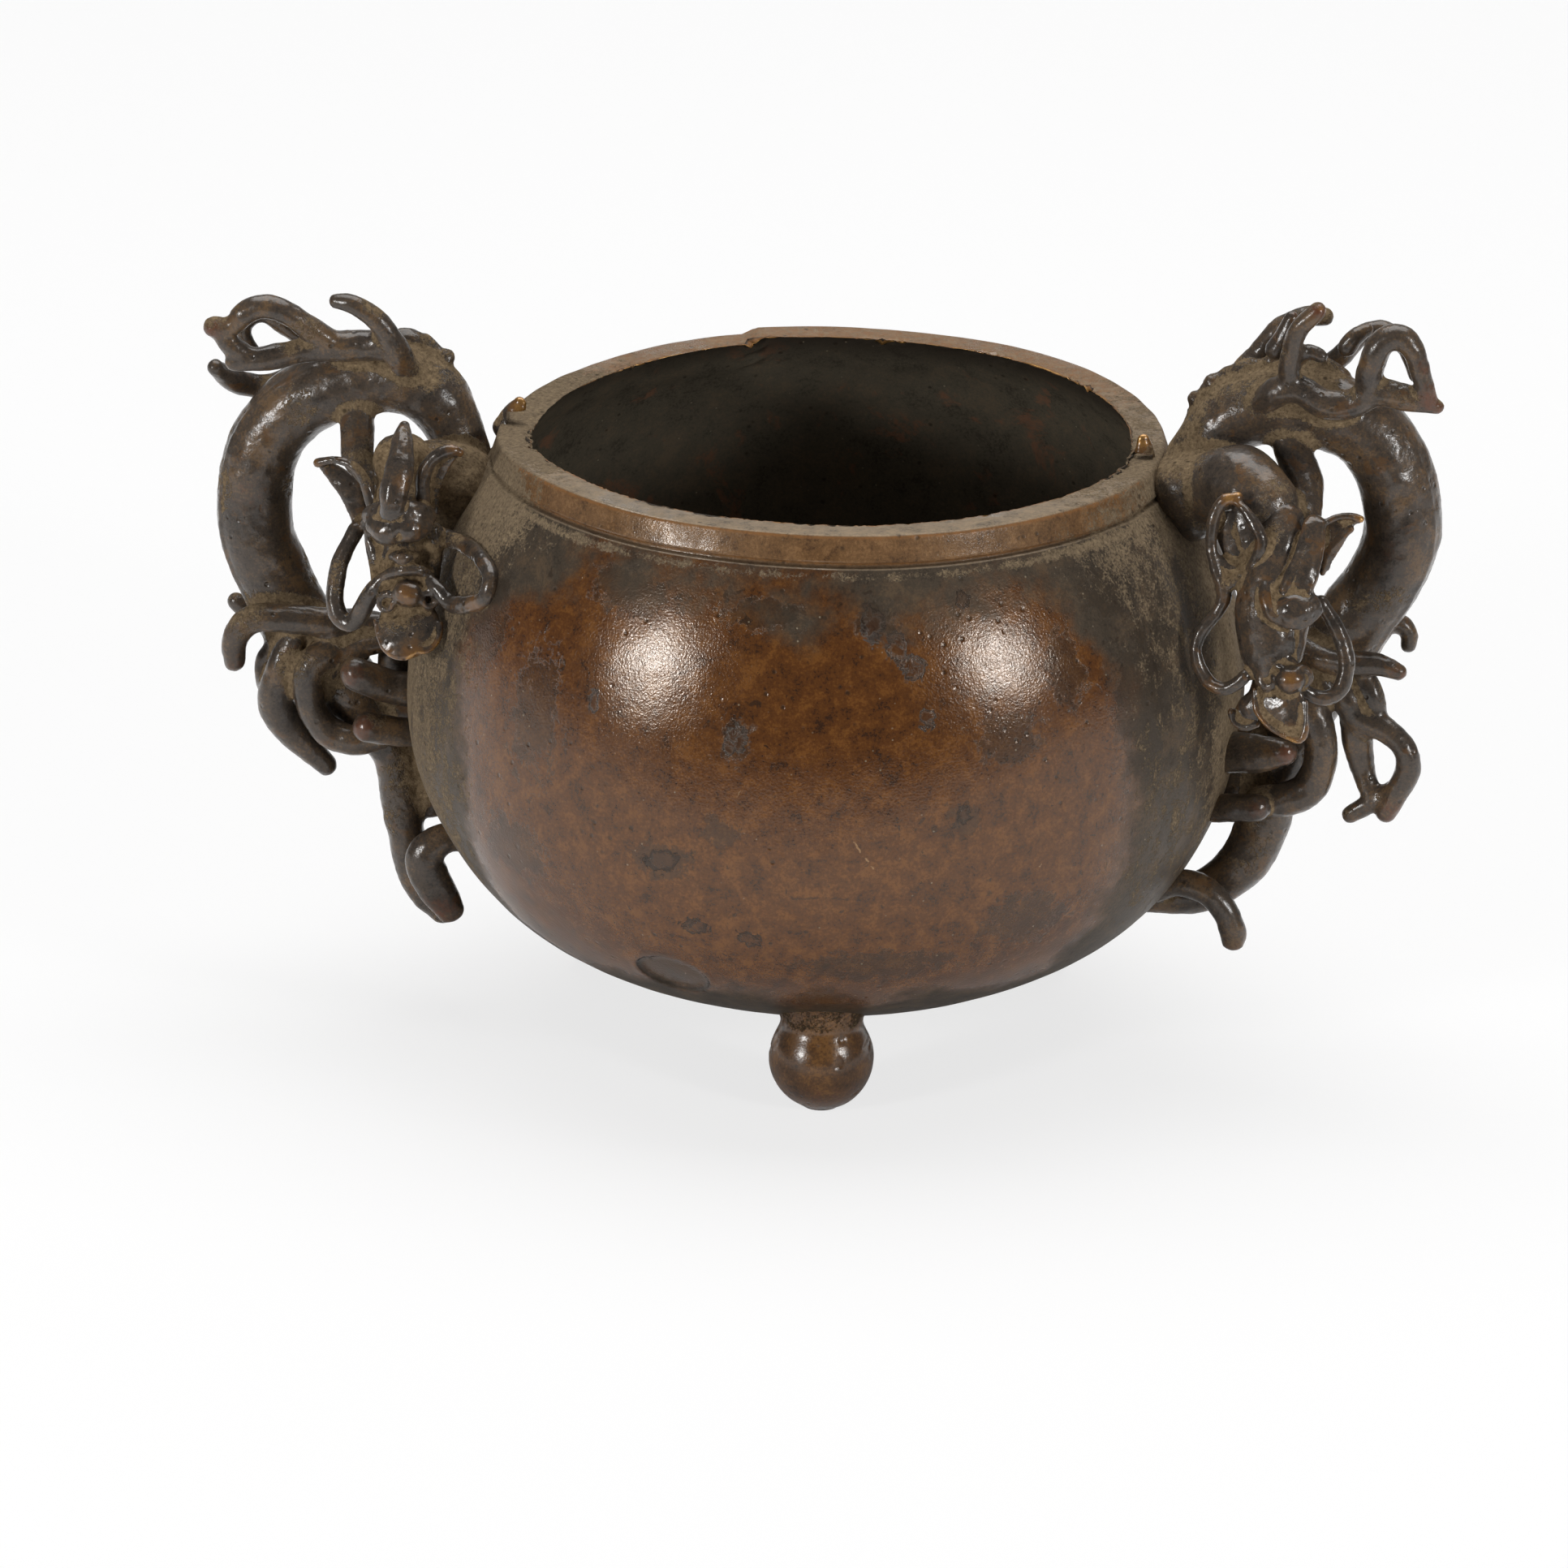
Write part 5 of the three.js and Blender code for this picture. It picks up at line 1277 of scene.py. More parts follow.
right_cheek = [(16, 30, 41.4, 4), (14.6, 31.6, 36, 4), (13.8, 33.6, 31, 4)]
right_lozenge = [(11, 34.5, 35, 0.8), (13.1, 36, 36.5, 1.3), (15.1, 36, 37, 0.8)]
right_eye_fold = [
    (12.2, 37, 39.6, 1), (14.6, 38.4, 38.7, 1), (17.3, 38.8, 38.5, 1), (19.7, 37.8, 39.5, 1),
    (20.9, 36.4, 41.5, 1),
]

# %% Cast the right dragon's face
shapes = [
    roll(right_head, RIGHT, flat=0.85, thin=TURNED),
    roll(right_cheek, RIGHT, flat=0.8, thin=TURNED),
    roll(right_crest, RIGHT, flat=0.85, thin=TURNED),
    roll(right_brow, RIGHT, flat=0.8, thin=TURNED),
    roll(right_curl, RIGHT),
    lump(7.5, 32, 41.6, 1.5, RIGHT),
    roll(right_lozenge, RIGHT),
    # The ball of the nose
    lump(15.8, 39.5, 27.7, 2.9, RIGHT),
    roll(right_moustache, RIGHT),
    roll(right_lip, RIGHT, flat=0.3, thin=TURNED),
    roll(right_lip_edge, RIGHT),
    roll(right_jaw, RIGHT, flat=0.45, thin=TURNED),
    roll(right_jaw_edge, RIGHT),
    roll(right_ear_back, RIGHT, flat=0.3, thin=TURNED),
    roll(right_whisker_inner, RIGHT),
    roll(right_whisker_outer, RIGHT),
]
shapes += [roll(line, RIGHT) for line in right_crest_ridges + right_nostrils + right_ear_rims]
shapes += [roll(leaf, RIGHT, flat=0.3, thin=way) for leaf, way in zip(right_ears, (TURNED, FACING))]
right_face = casting(
    "right_dragon_face", shapes, RIGHT, FACE_GRID,
    solids_of(
        "right_dragon", "head", "horn", "brow", "nose", "upper_lip", "lower_jaw", "ear_inner",
        "ear_outer", "whisker_inner", "whisker_outer",
    ),
    83,
    webbing=(14, 0.6),
    lines=[
        (right_eye_fold, 0.45, 0.7),
        ([(9, 36, 32, 1), (8.2, 36.5, 27, 1), (9.5, 38, 23.5, 1)], -0.5, 1.0),
        ([(18.5, 29.5, 55, 1), (18, 33.4, 49.6, 1), (16.6, 35.4, 46.2, 1)], -0.4, 0.7),
        ([(6.4, 33.6, 43.6, 1), (9, 34, 40.4, 1), (8.6, 33, 38.8, 1)], -0.5, 0.9),
    ],
    dust=[(10, 26.5, 52, 5, 1.1), (9, 33, 37, 5, 0.9), (9, 34, 31, 4, 0.7), (3, 31, 45, 4, 0.8)],
    rub=[
        (20, 29.5, 52, 3.4, 0.65), (19, 34, 46.4, 2.4, 0.6), (10.6, 36.8, 43, 2.2, 0.9),
        (16, 42, 28.6, 2.2, 0.85), (16.5, 43, 17, 3.2, 0.8), (10, 41, 19.5, 3, 0.5),
        (1.8, 28.4, 61.4, 2.2, 1.0), (0, 36, 24, 3, 0.5), (27.6, 26, 57.6, 2, 0.5),
    ],
)

# %% [markdown]
# ## The tangs on the rim
#
# Over each dragon a small pointed tang of the casting stands on the rim, probably the stump of a
# sprue that was broken off and worn. Each is a short wedge, dusty below and rubbed at its tip.

# %% Two tangs on the rim


def rim_tang(name, side, wedge, seed):
    """A broken stub on the rim: a wedge that narrows to a worn tip."""
    out, forward, up, _ = wedge[-1]
    return casting(
        name + "_casting", [roll(wedge, side, flat=0.7, thin=(0.3, 1, 0))], side, TANG_GRID, [name],
        seed,
        webbing=(4, 0.4),
        dust=[(wedge[0][0] + 1.5, forward, up - 3.4, 2.6, 1.0)],
        rub=[(out, forward + 1, up - 0.8, 2.6, 0.95)],
        crust=[(out, forward, up - 3, 4, 0.5)],
    )


left_wedge = [(-16.4, 0, 56.4, 3.4), (-17.5, 0, 59, 2.9), (-18.4, 0, 61.2, 2.1), (-19, 0, 62.6, 1.3)]
right_wedge = [(-18.4, 3, 58.4, 2.5), (-18.5, 3, 60.9, 2.1), (-18.6, 3, 62.8, 1.6), (-18.7, 3, 64, 1.1)]
tangs = [
    rim_tang("rim_tang_left", LEFT, left_wedge, 91),
    rim_tang("rim_tang_right", RIGHT, right_wedge, 95),
]

# %% [markdown]
# ## Patina
#
# Old bronze isn't the colour of its metal. A thin dark skin grows on it and is waxed by handling,
# so it shines like polished leather, not like metal. The wax is the shader's clear coat here: it is
# smooth where hands rub, and gone where dust lies. Where hands rub the skin through, the brass
# shows. Dust and incense ash settle in the corners and turn matt and tan.

# %% Tools for material nodes


def add(tree, kind, sockets=None, **settings):
    """Adds a node, sets its properties, and gives each named socket a value or a link."""
    made = tree.nodes.new(kind)
    for key, value in settings.items():
        setattr(made, key, value)
    for key, value in (sockets or {}).items():
        if isinstance(value, bpy.types.NodeSocket):
            tree.links.new(value, made.inputs[key])
        else:
            made.inputs[key].default_value = value
    return made


def maths(tree, operation, first, second=0.0, clamp=False):
    """The result of one sum on two values or sockets."""
    settings = {"operation": operation, "use_clamp": clamp}
    return add(tree, "ShaderNodeMath", {0: first, 1: second}, **settings).outputs[0]


def times(tree, first, second):
    """The product of two values or sockets."""
    return maths(tree, "MULTIPLY", first, second)


def plus(tree, first, second):
    """The sum of two values or sockets."""
    return maths(tree, "ADD", first, second)


def vectors(tree, operation, first, second):
    """The outputs of one operation on two vectors: 0 is a vector and 1 a value."""
    return add(tree, "ShaderNodeVectorMath", {0: first, 1: second}, operation=operation).outputs


def between(tree, value, low, high, start=0.0, stop=1.0):
    """Maps low to start and high to stop, and holds still outside them."""
    sockets = {"Value": value, "From Min": low, "From Max": high, "To Min": start, "To Max": stop}
    return add(tree, "ShaderNodeMapRange", sockets, interpolation_type="SMOOTHSTEP").outputs["Result"]


def blend(tree, share, first, second):
    """A colour that goes from the first to the second as the share goes from 0 to 1."""
    return add(tree, "ShaderNodeMix", {"Factor": share, 6: first, 7: second}, data_type="RGBA").outputs[2]


def noise(tree, place, size, detail=3.0, roughness=0.55, distortion=0.0):
    """A noise whose bumps are about size millimetres wide. The size can be a socket."""
    sized_by_socket = isinstance(size, bpy.types.NodeSocket)
    scale = maths(tree, "DIVIDE", 1000.0, size) if sized_by_socket else 1000 / size
    sockets = {"Vector": place, "Scale": scale, "Detail": detail, "Roughness": roughness}
    sockets["Distortion"] = distortion
    return add(tree, "ShaderNodeTexNoise", sockets).outputs["Fac"]


def cell_distance(tree, place, size):
    """The distance to the nearest of many scattered points, about size millimetres apart."""
    sockets = {"Vector": place, "Scale": 1000 / size, "Randomness": 1.0}
    return add(tree, "ShaderNodeTexVoronoi", sockets).outputs["Distance"]


def swing(tree, value, height):
    """A noise moved to swing about zero, height times as far."""
    return times(tree, maths(tree, "SUBTRACT", value, 0.5), height)


def group(name, inputs, outputs):
    """An empty node group with named sockets, and its input and output nodes."""
    tree = bpy.data.node_groups.new(name, "ShaderNodeTree")
    kinds = {"value": "NodeSocketFloat", "colour": "NodeSocketColor", "vector": "NodeSocketVector"}
    for label, kind, value in inputs:
        socket = tree.interface.new_socket(label, in_out="INPUT", socket_type=kinds[kind])
        if value is not None:
            socket.default_value = value
    for label, kind in outputs:
        tree.interface.new_socket(label, in_out="OUTPUT", socket_type=kinds[kind])
    return tree, tree.nodes.new("NodeGroupInput").outputs, tree.nodes.new("NodeGroupOutput").inputs


def use(tree, shared, sockets):
    """Adds a shared group to a material, fills its sockets and gives back its outputs."""
    return add(tree, "ShaderNodeGroup", sockets, node_tree=shared).outputs


def rgb(red, green, blue):
    """A colour written as the eye reads it, 0 to 255, turned into the light it stands for."""
    parts = [value / 255 for value in (red, green, blue)]
    return (*[p / 12.92 if p <= 0.04045 else ((p + 0.055) / 1.055) ** 2.4 for p in parts], 1.0)


# %% The shared groups: mottling, spots and thin marks

mottling, given, result = group(
    "mottled_patina",
    [
        ("Place", "vector", None), ("Dark", "colour", None), ("Middle", "colour", None),
        ("Warm", "colour", None), ("Size", "value", 12.0),
    ],
    [("Colour", "colour")],
)
clouds = noise(mottling, given["Place"], given["Size"], 9.0, 0.7, 0.3)
speckle = noise(mottling, given["Place"], 0.6, 4.0, 0.75)
mixed = plus(mottling, times(mottling, clouds, 0.6), times(mottling, speckle, 0.4))
warm = blend(mottling, between(mottling, mixed, 0.485, 0.6), given["Middle"], given["Warm"])
darker = blend(mottling, between(mottling, mixed, 0.485, 0.38), warm, given["Dark"])
mottling.links.new(darker, result["Colour"])

spotting, given, result = group(
    "dark_spots",
    [("Place", "vector", None), ("Size", "value", 2.4), ("Amount", "value", 0.0)],
    [("Cover", "value")],
)
spots = noise(spotting, given["Place"], given["Size"], 5.0, 0.62, 0.5)
spots = plus(spotting, spots, given["Amount"])
spotting.links.new(between(spotting, spots, 0.655, 0.7), result["Cover"])

marking, given, result = group(
    "thin_mark",
    [
        ("Place", "vector", None), ("Start", "vector", None), ("Stop", "vector", None),
        ("Width", "value", 0.3),
    ],
    [("Cover", "value")],
)
wobble = {"Vector": given["Place"], "Scale": 350.0, "Detail": 3.0}
wobble = add(marking, "ShaderNodeTexNoise", wobble).outputs["Color"]
wobble = vectors(marking, "SUBTRACT", wobble, (0.5, 0.5, 0.5))[0]
wobble = add(marking, "ShaderNodeVectorMath", {0: wobble, "Scale": 0.0022}, operation="SCALE").outputs[0]
here = vectors(marking, "ADD", given["Place"], wobble)[0]
here = vectors(marking, "SUBTRACT", here, given["Start"])[0]
line = vectors(marking, "SUBTRACT", given["Stop"], given["Start"])[0]
dots = [vectors(marking, "DOT_PRODUCT", one, line)[1] for one in (here, line)]
along = maths(marking, "DIVIDE", dots[0], dots[1], clamp=True)
foot = add(marking, "ShaderNodeVectorMath", {0: line, "Scale": along}, operation="SCALE").outputs[0]
away = vectors(marking, "DISTANCE", here, foot)[1]
half_width = times(marking, given["Width"], 0.0005)
thin = maths(marking, "DIVIDE", away, half_width)
marking.links.new(between(marking, thin, 1.3, 0.6), result["Cover"])

# %% The shared groups: dust, wear and the casting's skin

dusting, given, result = group(
    "settled_dust",
    [
        ("Place", "vector", None), ("Amount", "value", 0.0), ("Colour", "colour", None),
        ("Dust", "colour", None), ("Roughness", "value", 0.4), ("Density", "value", 0.31),
    ],
    [("Colour", "colour"), ("Roughness", "value"), ("Cover", "value")],
)
broken = noise(dusting, given["Place"], 4.5, 7.0, 0.72)
fine = noise(dusting, given["Place"], 0.55, 3.0, 0.7)
edge = plus(dusting, given["Amount"], swing(dusting, broken, 1.5))
cover = between(dusting, edge, 0.05, 1.1)
reach = between(dusting, given["Amount"], 0.95, 1.5, given["Density"], 0.31)
grains = plus(dusting, fine, times(dusting, maths(dusting, "SUBTRACT", cover, 1.0), 0.62))
cover = between(dusting, plus(dusting, grains, reach), 0.4, 0.62)
shade = noise(dusting, given["Place"], 0.8, 5.0, 0.75)
deep = blend(dusting, 0.5, given["Dust"], rgb(40, 33, 24))
pale = blend(dusting, 0.22, given["Dust"], rgb(196, 172, 132))
powder = blend(dusting, between(dusting, shade, 0.38, 0.5), deep, given["Dust"])
powder = blend(dusting, between(dusting, shade, 0.52, 0.66), powder, pale)
dusting.links.new(blend(dusting, cover, given["Colour"], powder), result["Colour"])
rougher = times(dusting, cover, 0.45)
dusting.links.new(maths(dusting, "ADD", given["Roughness"], rougher, clamp=True), result["Roughness"])
dusting.links.new(cover, result["Cover"])

wearing, given, result = group(
    "worn_metal",
    [
        ("Place", "vector", None), ("Amount", "value", 0.0), ("Colour", "colour", None),
        ("Warm", "colour", None), ("Bright", "colour", None), ("Roughness", "value", 0.4),
    ],
    [("Colour", "colour"), ("Metallic", "value"), ("Roughness", "value")],
)
patchy = noise(wearing, given["Place"], 1.4, 5.0, 0.7)
edge = plus(wearing, given["Amount"], swing(wearing, patchy, 1.0))
thin_skin = between(wearing, edge, 0.2, 0.7)
bare = between(wearing, edge, 0.72, 1.05)
warmed = blend(wearing, thin_skin, given["Colour"], given["Warm"])
wearing.links.new(blend(wearing, bare, warmed, given["Bright"]), result["Colour"])
wearing.links.new(times(wearing, bare, 0.75), result["Metallic"])
smoother = times(wearing, thin_skin, 0.1)
wearing.links.new(maths(wearing, "SUBTRACT", given["Roughness"], smoother, clamp=True), result["Roughness"])

skin_relief, given, result = group(
    "cast_skin",
    [("Place", "vector", None), ("Grain", "value", 0.012), ("Sand", "value", 0.05), ("Pits", "value", 0.1)],
    [("Height", "value"), ("Pitted", "value")],
)
grain = noise(skin_relief, given["Place"], 0.45, 2.0, 0.6)
sand = noise(skin_relief, given["Place"], 1.7, 4.0, 0.6)
where = noise(skin_relief, given["Place"], 14.0, 2.0, 0.5)
near = between(skin_relief, cell_distance(skin_relief, given["Place"], 3.4), 0.2, 0.06)
pitted = times(skin_relief, near, between(skin_relief, where, 0.48, 0.56))
rise = times(skin_relief, grain, given["Grain"])
rise = plus(skin_relief, rise, times(skin_relief, sand, given["Sand"]))
rise = maths(skin_relief, "SUBTRACT", rise, times(skin_relief, pitted, given["Pits"]))
skin_relief.links.new(rise, result["Height"])
skin_relief.links.new(pitted, result["Pitted"])


# %% A bronze material


def new_material(name):
    """A material with an empty tree, its Principled shader, and the object's own coordinates."""
    material = bpy.data.materials.new(name)
    material.use_nodes = True
    tree = material.node_tree
    tree.nodes.clear()
    shader = tree.nodes.new("ShaderNodeBsdfPrincipled")
    output = tree.nodes.new("ShaderNodeOutputMaterial")
    tree.links.new(shader.outputs[0], output.inputs["Surface"])
    place = tree.nodes.new("ShaderNodeTexCoord").outputs["Object"]
    return material, tree, shader, place


def stored(tree, name):
    """A value that was stored on the points."""
    return add(tree, "ShaderNodeAttribute", None, attribute_name=name).outputs["Fac"]


def finish_bronze(tree, shader, place, colour, roughness, dirt, rub, looks, extra_height=None):
    """Lays wear and dust over a colour, waxes what is clean and gives the shader its relief. looks
    holds the dust, warm and bright colours, the dust's density, the heights of grain, sand and
    pits, the bare skin's sheen, the wax's share and its roughness."""
    worn = use(tree, wearing, {
        "Place": place, "Amount": rub, "Colour": colour, "Warm": looks["warm"],
        "Bright": looks["bright"], "Roughness": roughness,
    })
    dusty = use(tree, dusting, {
        "Place": place, "Amount": dirt, "Colour": worn["Colour"], "Dust": looks["dust"],
        "Roughness": worn["Roughness"], "Density": looks["density"],
    })
    relief = use(tree, skin_relief, {
        "Place": place, "Grain": looks["grain"], "Sand": looks["sand"], "Pits": looks["pits"],
    })
    clean = maths(tree, "SUBTRACT", 1.0, dusty["Cover"])
    settled = blend(tree, times(tree, relief["Pitted"], 0.7), dusty["Colour"], rgb(30, 24, 18))
    tree.links.new(settled, shader.inputs["Base Color"])
    tree.links.new(times(tree, worn["Metallic"], clean), shader.inputs["Metallic"])
    tree.links.new(dusty["Roughness"], shader.inputs["Roughness"])
    waxed = times(tree, maths(tree, "POWER", clean, 1.6), looks["wax"])
    tree.links.new(waxed, shader.inputs["Coat Weight"])
    shader.inputs["Coat Roughness"].default_value = looks["wax_roughness"]
    shader.inputs["Coat IOR"].default_value = 1.5
    shader.inputs["Specular IOR Level"].default_value = looks["sheen"]
    shader.inputs["Specular Tint"].default_value = rgb(255, 226, 196)
    crumb_height = times(tree, dusty["Cover"], 0.22)
    crumbs = times(tree, noise(tree, place, 0.9, 4.0, 0.7), crumb_height)
    height = plus(tree, relief["Height"], crumbs)
    if extra_height is not None:
        height = plus(tree, height, extra_height)
    bump = add(tree, "ShaderNodeBump", {"Height": height, "Strength": 1.0, "Distance": 0.001})
    tree.links.new(bump.outputs["Normal"], shader.inputs["Normal"])
    tree.links.new(bump.outputs["Normal"], shader.inputs["Coat Normal"])


# %% The bowl's patina

bowl_bronze, tree, shader, place = new_material("bowl_bronze")
BROWN = {"Dark": rgb(48, 27, 13), "Middle": rgb(82, 47, 17), "Warm": rgb(106, 66, 27), "Size": 4.5}
OLIVE = {"Dark": rgb(38, 34, 29), "Middle": rgb(56, 49, 41), "Warm": rgb(78, 64, 49), "Size": 6.0}
BAND = {"Dark": rgb(66, 45, 29), "Middle": rgb(99, 71, 44), "Warm": rgb(124, 92, 60), "Size": 4.0}
RIM_TOP = {"Dark": rgb(82, 71, 57), "Middle": rgb(124, 108, 87), "Warm": rgb(144, 124, 98), "Size": 3.0}
# The inside's colours are painted pale, as painted fill light deep in the bowl
INSIDE = {"Dark": rgb(58, 54, 46), "Middle": rgb(80, 75, 64), "Warm": rgb(94, 83, 68), "Size": 9.0}


def coloured(tree, place, colours):
    """A mottled patina of three colours."""
    return use(tree, mottling, {"Place": place, **colours})["Colour"]


drift = plus(tree, swing(tree, noise(tree, place, 26.0, 6.0, 0.66), 1.5), stored(tree, "rubbed"))
polish = between(tree, drift, 0.3, 0.62)
colour = blend(tree, polish, coloured(tree, place, OLIVE), coloured(tree, place, BROWN))
blotch = swing(tree, noise(tree, place, 3.2, 8.0, 0.75, 0.4), 2.2)
# Stains darken the colour, and so does the dark oval of painted shade above the front foot
stain_and_shade = between(tree, plus(tree, stored(tree, "stained_and_shaded"), blotch), 0.55, 0.66)
colour = blend(tree, times(tree, stain_and_shade, 0.5), colour, rgb(36, 30, 24))
spot_amount = swing(tree, noise(tree, place, 18.0), 0.3)
spots = use(tree, spotting, {"Place": place, "Size": 2.6, "Amount": spot_amount})["Cover"]
freckles = use(tree, spotting, {"Place": place, "Size": 0.9, "Amount": -0.02})["Cover"]
colour = blend(tree, times(tree, spots, 0.7), colour, rgb(32, 22, 15))
colour = blend(tree, times(tree, freckles, 0.5), colour, rgb(30, 20, 14))
colour = blend(tree, stored(tree, "band"), colour, coloured(tree, place, BAND))
colour = blend(tree, stored(tree, "flat_top"), colour, coloured(tree, place, RIM_TOP))
rust = times(tree, between(tree, noise(tree, place, 15.0, 7.0, 0.72, 0.4), 0.56, 0.64), 0.6)
hollow_colour = blend(tree, rust, coloured(tree, place, INSIDE), rgb(124, 84, 62))
axes_here = add(tree, "ShaderNodeSeparateXYZ", {0: place}).outputs
# Just under the mouth the inside is darkened as painted shade
near_mouth = between(tree, axes_here["Z"], 0.118, 0.126)
hollow_colour = blend(tree, near_mouth, hollow_colour, rgb(40, 36, 31))
colour = blend(tree, stored(tree, "inside"), colour, hollow_colour)

# A crisp edge for the seal, and a dark line in the groove painted as the shadow under the band's overhang,
# worked out from the distances stored on the points
seal = stored(tree, "seal")
seal_pan = between(tree, seal, 1.0, 0.93)
seal_ring = times(tree, between(tree, seal, 0.84, 0.93), between(tree, seal, 1.04, 0.97))
colour = blend(tree, times(tree, seal_pan, 0.55), colour, rgb(46, 40, 30))
colour = blend(tree, times(tree, seal_ring, 0.85), colour, rgb(28, 22, 16))
colour = blend(tree, times(tree, stored(tree, "groove"), 0.75), colour, rgb(34, 24, 17))

scar_noise = swing(tree, noise(tree, place, 2.4, 6.0, 0.7, 0.6), 1.8)
scar_place = plus(tree, stored(tree, "scarred"), scar_noise)
scar = between(tree, scar_place, 0.52, 0.6)
scar_edge = times(tree, scar, between(tree, scar_place, 0.85, 0.62))
colour = blend(tree, times(tree, scar, 0.5), colour, rgb(52, 34, 24))
colour = blend(tree, times(tree, scar_edge, 0.75), colour, rgb(22, 17, 13))


def on_bowl(turn, up):
    """A place on the bowl's outside, in metres, at a turn in degrees and a height."""
    radius = float(belly_radius(up))
    turn = math.radians(turn)
    return (radius * math.cos(turn) / 1000, radius * math.sin(turn) / 1000, (EQUATOR + up) / 1000)


# Scratches and drips: from and to as (turn, up), the width in millimetres, the colour, its strength
DARK_LINE, DARK_NICK, PALE_LINE = rgb(34, 24, 16), rgb(26, 18, 12), rgb(168, 140, 104)
BRASSY_LINE = rgb(140, 108, 46)
MARKS = (
    ((-99, -8.6), (-83, -9.4), 0.45, DARK_LINE, 0.6), ((-82, -9.2), (-62, -9.6), 0.4, DARK_LINE, 0.6),
    ((-78.5, 3.5), (-75.5, -2.5), 0.4, rgb(150, 116, 78), 0.8),
    ((-52.6, -2.0), (-50.6, -4.4), 0.5, PALE_LINE, 0.8),
    ((-50.6, -4.4), (-51.0, -6.0), 0.45, PALE_LINE, 0.8),
    ((-91, 19), (-88.4, 18.6), 0.5, DARK_NICK, 0.8), ((-91, 22), (-88, 20.8), 0.4, DARK_NICK, 0.7),
    ((-25.5, 4), (-26.2, -1), 0.8, BRASSY_LINE, 0.7), ((-23.6, 5), (-24.4, 1.5), 0.6, BRASSY_LINE, 0.6),
    ((-93.5, 14), (-95.4, 10), 0.4, rgb(140, 112, 80), 0.6),
)
for start, stop, width, shade, strength in MARKS:
    sockets = {"Place": place, "Start": on_bowl(*start), "Stop": on_bowl(*stop), "Width": width}
    mark = use(tree, marking, sockets)["Cover"]
    colour = blend(tree, times(tree, mark, strength), colour, shade)

lint = between(tree, cell_distance(tree, place, 3.0), 0.085, 0.045)
lint = times(tree, lint, between(tree, noise(tree, place, 7.0, 2.0), 0.44, 0.6))
colour = blend(tree, times(tree, lint, 0.6), colour, rgb(150, 138, 116))

roughness = plus(tree, 0.2, times(tree, maths(tree, "SUBTRACT", 1.0, polish), 0.32))
roughness = plus(tree, roughness, times(tree, stored(tree, "inside"), 0.3))
drawn = add(tree, "ShaderNodeVectorMath", {0: place, 1: (1.0, 1.0, 0.22)}, operation="MULTIPLY").outputs[0]
dirt = plus(tree, stored(tree, "dusty"), swing(tree, noise(tree, drawn, 3.0, 5.0, 0.65), 0.9))
dirt = times(tree, dirt, between(tree, stored(tree, "dusty"), 0.0, 0.2))
behind = between(tree, axes_here["Y"], 0.0, 0.045)
rub = times(tree, times(tree, stored(tree, "flat_top"), behind), 0.45)
rub = plus(tree, stored(tree, "edge"), rub)
sunk = times(tree, plus(tree, scar, scar_edge), -0.07)
sunk = plus(tree, sunk, times(tree, seal_pan, -0.3))
sunk = plus(tree, sunk, times(tree, stain_and_shade, -0.02))
bowl_looks = {
    "dust": rgb(115, 100, 80), "warm": rgb(128, 88, 52), "bright": rgb(170, 130, 76), "grain": 0.06,
    "sand": 0.04, "pits": 0.08, "wax": between(tree, polish, 0.0, 1.0, 0.12, 0.68),
    "wax_roughness": 0.09, "density": 0.12, "sheen": 0.4,
}
finish_bronze(tree, shader, place, colour, roughness, dirt, rub, bowl_looks, sunk)
bowl.data.materials.append(bowl_bronze)

# %% The dragons' patina


def dragon_material(name, colours, roughness, looks):
    """Bronze of coils, faces and feet: mottled browns, dust where the stored dirt lies, metal where rubbed.
    On the feet the stored dirt and their dark dust colour are painted shade where the neck meets the belly.
    """
    material, tree, shader, place = new_material(name)
    tarnish = between(tree, noise(tree, place, 5.0, 4.0, 0.6), 0.35, 0.7, roughness - 0.07, roughness + 0.1)
    colour = coloured(tree, place, colours)
    spots = use(tree, spotting, {"Place": place, "Size": 1.8, "Amount": 0.01})["Cover"]
    colour = blend(tree, times(tree, spots, 0.6), colour, rgb(30, 23, 18))
    amber = between(tree, noise(tree, place, 6.0, 6.0, 0.7, 0.5), 0.57, 0.63)
    colour = blend(tree, times(tree, amber, 0.5), colour, rgb(96, 66, 36))
    finish_bronze(tree, shader, place, colour, tarnish, stored(tree, "dirt"), stored(tree, "rub"), looks)
    return material


COIL = {"Dark": rgb(42, 38, 35), "Middle": rgb(66, 57, 49), "Warm": rgb(98, 77, 55), "Size": 9.0}
FACE = {"Dark": rgb(38, 34, 31), "Middle": rgb(58, 51, 45), "Warm": rgb(84, 67, 51), "Size": 5.0}
BALL = {"Dark": rgb(40, 27, 17), "Middle": rgb(76, 51, 29), "Warm": rgb(108, 74, 38), "Size": 8.0}
coil_looks = {
    "dust": rgb(116, 99, 77), "warm": rgb(92, 56, 38), "bright": rgb(140, 98, 56), "grain": 0.03,
    "sand": 0.1, "pits": 0.16, "wax": 0.9, "wax_roughness": 0.2, "density": 0.31, "sheen": 0.15,
}
face_looks = dict(coil_looks, dust=rgb(116, 98, 75), bright=rgb(168, 124, 66), warm=rgb(100, 70, 40),
                  sand=0.05, wax=1.0, wax_roughness=0.16, density=0.2)
# The feet's dust colour is dark because on the feet it paints shade where the neck meets the belly
ball_looks = dict(coil_looks, dust=rgb(52, 42, 31), sand=0.03, wax=1.0, wax_roughness=0.2)
dragon_bronze = dragon_material("dragon_bronze", COIL, 0.46, coil_looks)
worn_bronze = dragon_material("worn_bronze", FACE, 0.42, face_looks)
foot_bronze = dragon_material("foot_bronze", BALL, 0.4, ball_looks)
for made in (left_coils, right_coils):
    made.data.materials.append(dragon_bronze)
for made in (left_face, right_face, *tangs):
    made.data.materials.append(worn_bronze)
for made in feet:
    made.data.materials.append(foot_bronze)

